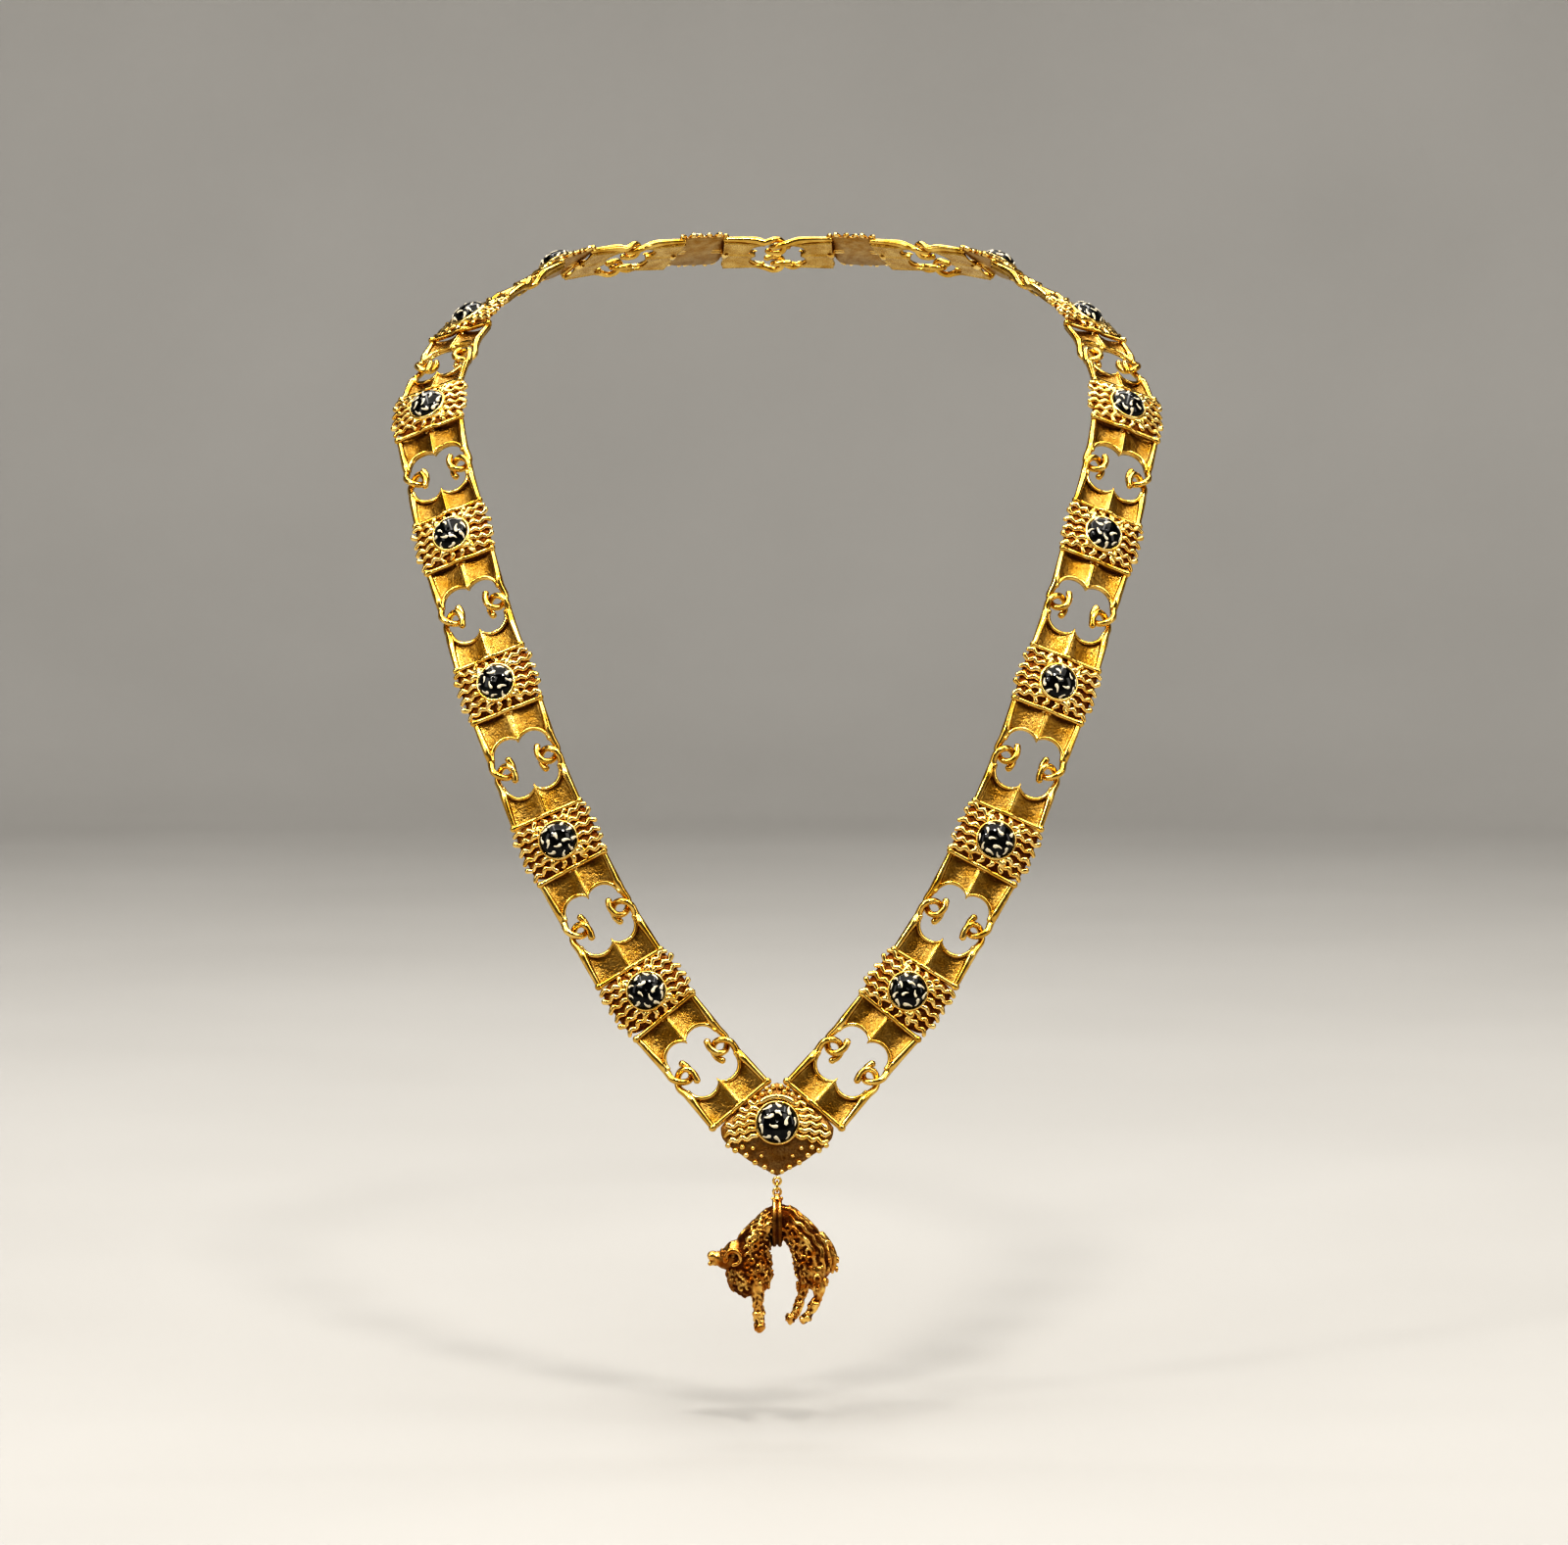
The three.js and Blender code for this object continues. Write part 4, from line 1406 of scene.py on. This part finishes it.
def curlMesh():
    points, thick = [], []
    for share in shares(curl["steps"]):
        turn = 2 * math.pi * curl["turns"] * share
        radius = lerp(curl["radius"], curl["inner"], share)
        points.append((radius * math.cos(turn), radius * math.sin(turn), curl["rise"] * share))
        thick.append(lerp(curl["thick"], curl["tip"], share))
    return sweepWires("curl", [wirePath(points, thick)], fleeceGold, sides=5, steps=1)


def bareOfCurls(patch):
    place = patch.calc_center_median() / mm
    slope = ram["combedRump"] if place.x > 0 else ram["combedBreast"]
    onBack = patch.normal.z > slope and place.z > ram["combedFoot"]
    return place.z < ram["woolFoot"] or fromHorn(place) < horn["curlGap"] or onBack


def curlsOn(meshes):
    # curls scattered over the body and thighs, clear of the head
    ground = trimFaces(gather("woolGround", meshes), bareOfCurls)
    pattern = addObject("curlPattern", curlMesh())
    made = shapeByTree(ground, scatter, {**curlScatter, "Piece": pattern, "Finish": fleeceGold})
    bpy.data.objects.remove(pattern)
    return made


def hornPath(side):
    points, thick = [], []
    for share in shares(horn["steps"]):
        turn = math.radians(horn["startAngle"] - horn["turn"] * share)
        radius = lerp(horn["radius"], horn["innerRadius"], share)
        x, z = horn["x"] + radius * math.cos(turn), horn["z"] + radius * math.sin(turn)
        points.append((x, side * (horn["side"] + horn["flare"] * share), z))
        thick.append(lerp(horn["wire"], horn["tipWire"], share))
    return wirePath(points, thick)


def hoofPaths(place, y):
    # two toes side by side under a pastern
    paths = []
    for toe in (-1, 1):
        points = []
        for row in hoof:
            x = place["x"] - row["ahead"] * place["lean"]
            points.append((x, y + toe * row["apart"], place["z"] - row["drop"]))
        paths.append(wirePath(points, columnOf(hoof, "thick")))
    return paths


def pointNormals(mesh):
    normals = np.empty(len(mesh.vertices) * 3, np.float32)
    mesh.vertex_normals.foreach_get("vector", normals)
    return normals.reshape(-1, 3)


def hollowShade(mesh):
    # painted shade where the surface lies below its smoothed self
    count = len(mesh.vertices)
    place = np.empty(count * 3, np.float64)
    mesh.vertices.foreach_get("co", place)
    place = place.reshape(-1, 3)
    edges = np.empty(len(mesh.edges) * 2, np.int64)
    mesh.edges.foreach_get("vertices", edges)
    first, second = edges[0::2], edges[1::2]
    links = np.bincount(edges, minlength=count)[:, None]
    soft = place.copy()
    for step in range(ram["hollowRounds"]):
        total = np.zeros_like(soft)
        np.add.at(total, first, soft[second])
        np.add.at(total, second, soft[first])
        soft = total / links
    below = np.einsum("ij,ij->i", soft - place, pointNormals(mesh)) / mm
    return np.clip((below + ram["hollowBias"] * ram["hollowDepth"]) / ram["hollowDepth"], 0, 1)


def addLumps(mesh):
    # uneven all over, most on the bare legs, with painted shade in the dents
    dents = []
    for vertex, normal in zip(mesh.vertices, pointNormals(mesh)):
        bare = smooth(ram["woolFoot"], ram["woolFoot"] - ram["lumpFade"], vertex.co.z / mm)
        height = lerp(ram["lumps"], ram["legLumps"], bare)
        lump = noise.noise(vertex.co / (ram["lumpGrain"] * mm))
        vertex.co += Vector(normal) * lump * height * mm
        dents.append(max(0, min(1, -lump * height * ram["dentShade"])))
    mesh.update()
    return np.array(dents)


def distancesTo(target, mesh):
    places = [vertex.co for vertex in target.vertices]
    surface = BVHTree.FromPolygons(places, [face.vertices for face in target.polygons])
    return np.array([surface.find_nearest(vertex.co)[3] for vertex in mesh.vertices]) / mm


def rootShade(mesh, trunk):
    # painted shade near the trunk under the wool, clear at the tips of the curls
    return np.clip(1 - distancesTo(trunk, mesh) / ram["rootShade"], 0, 1)


def cheekShade(mesh, horns):
    shade = []
    for vertex, distance in zip(mesh.vertices, distancesTo(horns, mesh)):
        x, z = vertex.co.x / mm, vertex.co.z / mm
        inside = smooth(*cheek["back"], x) * smooth(*cheek["front"], x) * smooth(*cheek["top"], z)
        shade.append(cheek["shade"] * inside * smooth(*cheek["fromHorn"], distance))
    return np.array(shade)


def ramMesh():
    legSide = ram["legSide"]
    legs = [routePath(innerHindLeg, legSide), routePath(outerHindLeg, -legSide)]
    details = []
    for side in (1, -1):
        legs.append(routePath(frontLeg, side * legSide))
        details += hoofPaths(frontHoof, side * legSide)
    for bead in face:
        for side in (1, -1) if bead["side"] else (1,):
            place = Vector((bead["x"], side * bead["side"], bead["z"]))
            details.append(wirePath([place, place - Vector((ram["beadRun"], 0, 0))], bead["thick"]))
    details += hoofPaths(innerHoof, legSide) + hoofPaths(outerHoof, -legSide)
    trunk = trunkMesh("trunk", bodySections, ram["along"], ram["around"])
    limbs = sweepWires("limbs", legs + [routePath(tailRoute, 0)], fleeceGold, sides=12, steps=4)
    horns = sweepWires("horns", [hornPath(side) for side in (1, -1)], fleeceGold, sides=12, steps=4)
    parts = [trunk, limbs, horns, trunkMesh("head", headSections, ram["headAlong"], ram["headAround"])]
    parts.append(sweepWires("details", details, fleeceGold, sides=12, steps=4))
    parts.append(combedLocks(random.Random(lockShape["seed"])))
    parts.append(curlsOn([trunk, limbs]))
    made = fuseByVoxels(gather("fleece", parts), ram["voxel"])
    made.materials.clear()
    made.materials.append(fleeceGold)
    dents = addLumps(made)
    # painted shade in the hollows, near the trunk, in the dents and on the cheeks
    shades = [hollowShade(made), rootShade(made, trunk), dents, cheekShade(made, horns)]
    setLayer(made, "shade", np.maximum.reduce(shades))
    made.transform(Matrix.Translation((Vector((ram["balance"], 0, -waist["z"])) + strapMiddle) * mm))
    return made


fleeceMesh = ramMesh()
finishPiece(fleeceMesh, "pendant", "fleece", "fleece")
bpy.data.objects.remove(fleckObject)
print("fleece made:", len(fleeceMesh.polygons), "faces")


# Round pale floor that sweeps up on all sides, and soft studio light

studio = {
    "floor": -360,
    "middle": -115,
    "flat": 2200,
    "sweep": 700,
    "top": 1600,
    "segments": 96,
    "sweepSteps": 12,
    "room": (0.03, 0.028, 0.025),
    "aim": (0, -140, -150),  # where a lamp looks unless its row says otherwise
}
floorLook = {
    "colour": (0.44, 0.433, 0.42),
    "clouded": (0.46, 0.453, 0.44),
    "cloud": 260,
    "detail": 2.0,
    "span": (0.3, 0.7),
}
softWhite, plainWhite, keyWhite = (1, 0.97, 0.92), (1, 0.98, 0.95), (1, 0.96, 0.9)
lamps = namedRows(
    "name place size watts colour aim",
    ("overhead", (0, -340, 1230), (2400, 1300), 15, softWhite),
    ("leftSoft", (-720, -1250, 820), (520, 520), 2.4, softWhite),
    ("rightSoft", (720, -1250, 820), (520, 520), 2.4, softWhite),
    ("backWash", (0, 800, 1500), (2200, 300), 18, plainWhite, (0, 2300, -250)),
    ("leftWash", (-800, -100, 1500), (2200, 300), 9, plainWhite, (-2300, -100, -250)),
    ("rightWash", (800, -100, 1500), (2200, 300), 9, plainWhite, (2300, -100, -250)),
    ("frontWash", (0, -1000, 1500), (2200, 300), 3, plainWhite, (0, -2500, -250)),
    ("leftWindow", (-1300, -900, 400), (400, 900), 2.0, plainWhite),
    ("rightWindow", (1250, -700, 300), (300, 800), 1.6, (1, 0.97, 0.93)),
    ("backStrip", (0, 700, 900), (1200, 250), 2.5, plainWhite),
    ("key", (150, -900, 1000), (160, 160), 4, keyWhite),
    ("leftKey", (-700, -900, 700), (120, 120), 1.8, keyWhite),
)


def floorBowl():
    profile = [(studio["flat"], studio["floor"])]
    for step in range(1, studio["sweepSteps"] + 1):
        angle = math.pi / 2 * step / studio["sweepSteps"]
        out, rise = studio["sweep"] * math.sin(angle), studio["sweep"] * (1 - math.cos(angle))
        profile.append((studio["flat"] + out, studio["floor"] + rise))
    profile.append((studio["flat"] + studio["sweep"], studio["top"]))
    points = [(0, studio["middle"], studio["floor"])]
    for radius, height in profile:
        for angle in turns(studio["segments"]):
            points.append((radius * math.cos(angle), studio["middle"] + radius * math.sin(angle), height))
    faces = discFaces(len(profile), studio["segments"])
    finish = cloudedFinish("paleFloor", floorLook, Roughness=0.75)
    addObject("floor", newMesh("floor", points, faces, finish))


def hangLamps():
    for lamp in lamps:
        light = bpy.data.lights.new(lamp["name"], "AREA")
        light.shape = "RECTANGLE"
        light.size, light.size_y = lamp["size"][0] * mm, lamp["size"][1] * mm
        light.energy = lamp["watts"]
        light.color = lamp["colour"]
        holder = addObject(lamp["name"], light)
        holder.location = Vector(lamp["place"]) * mm
        aim = Vector(lamp.get("aim", studio["aim"])) * mm
        holder.rotation_euler = (aim - holder.location).to_track_quat("-Z", "Y").to_euler()
    world = bpy.data.worlds.new("room")
    world.use_nodes = True
    background = world.node_tree.nodes["Background"]
    background.inputs["Color"].default_value = (*studio["room"], 1)
    background.inputs["Strength"].default_value = 1.0
    scene.world = world
    scene.view_settings.view_transform = "Standard"
    scene.view_settings.look = "Very High Contrast"


floorBowl()
hangLamps()
print("floor and light made")
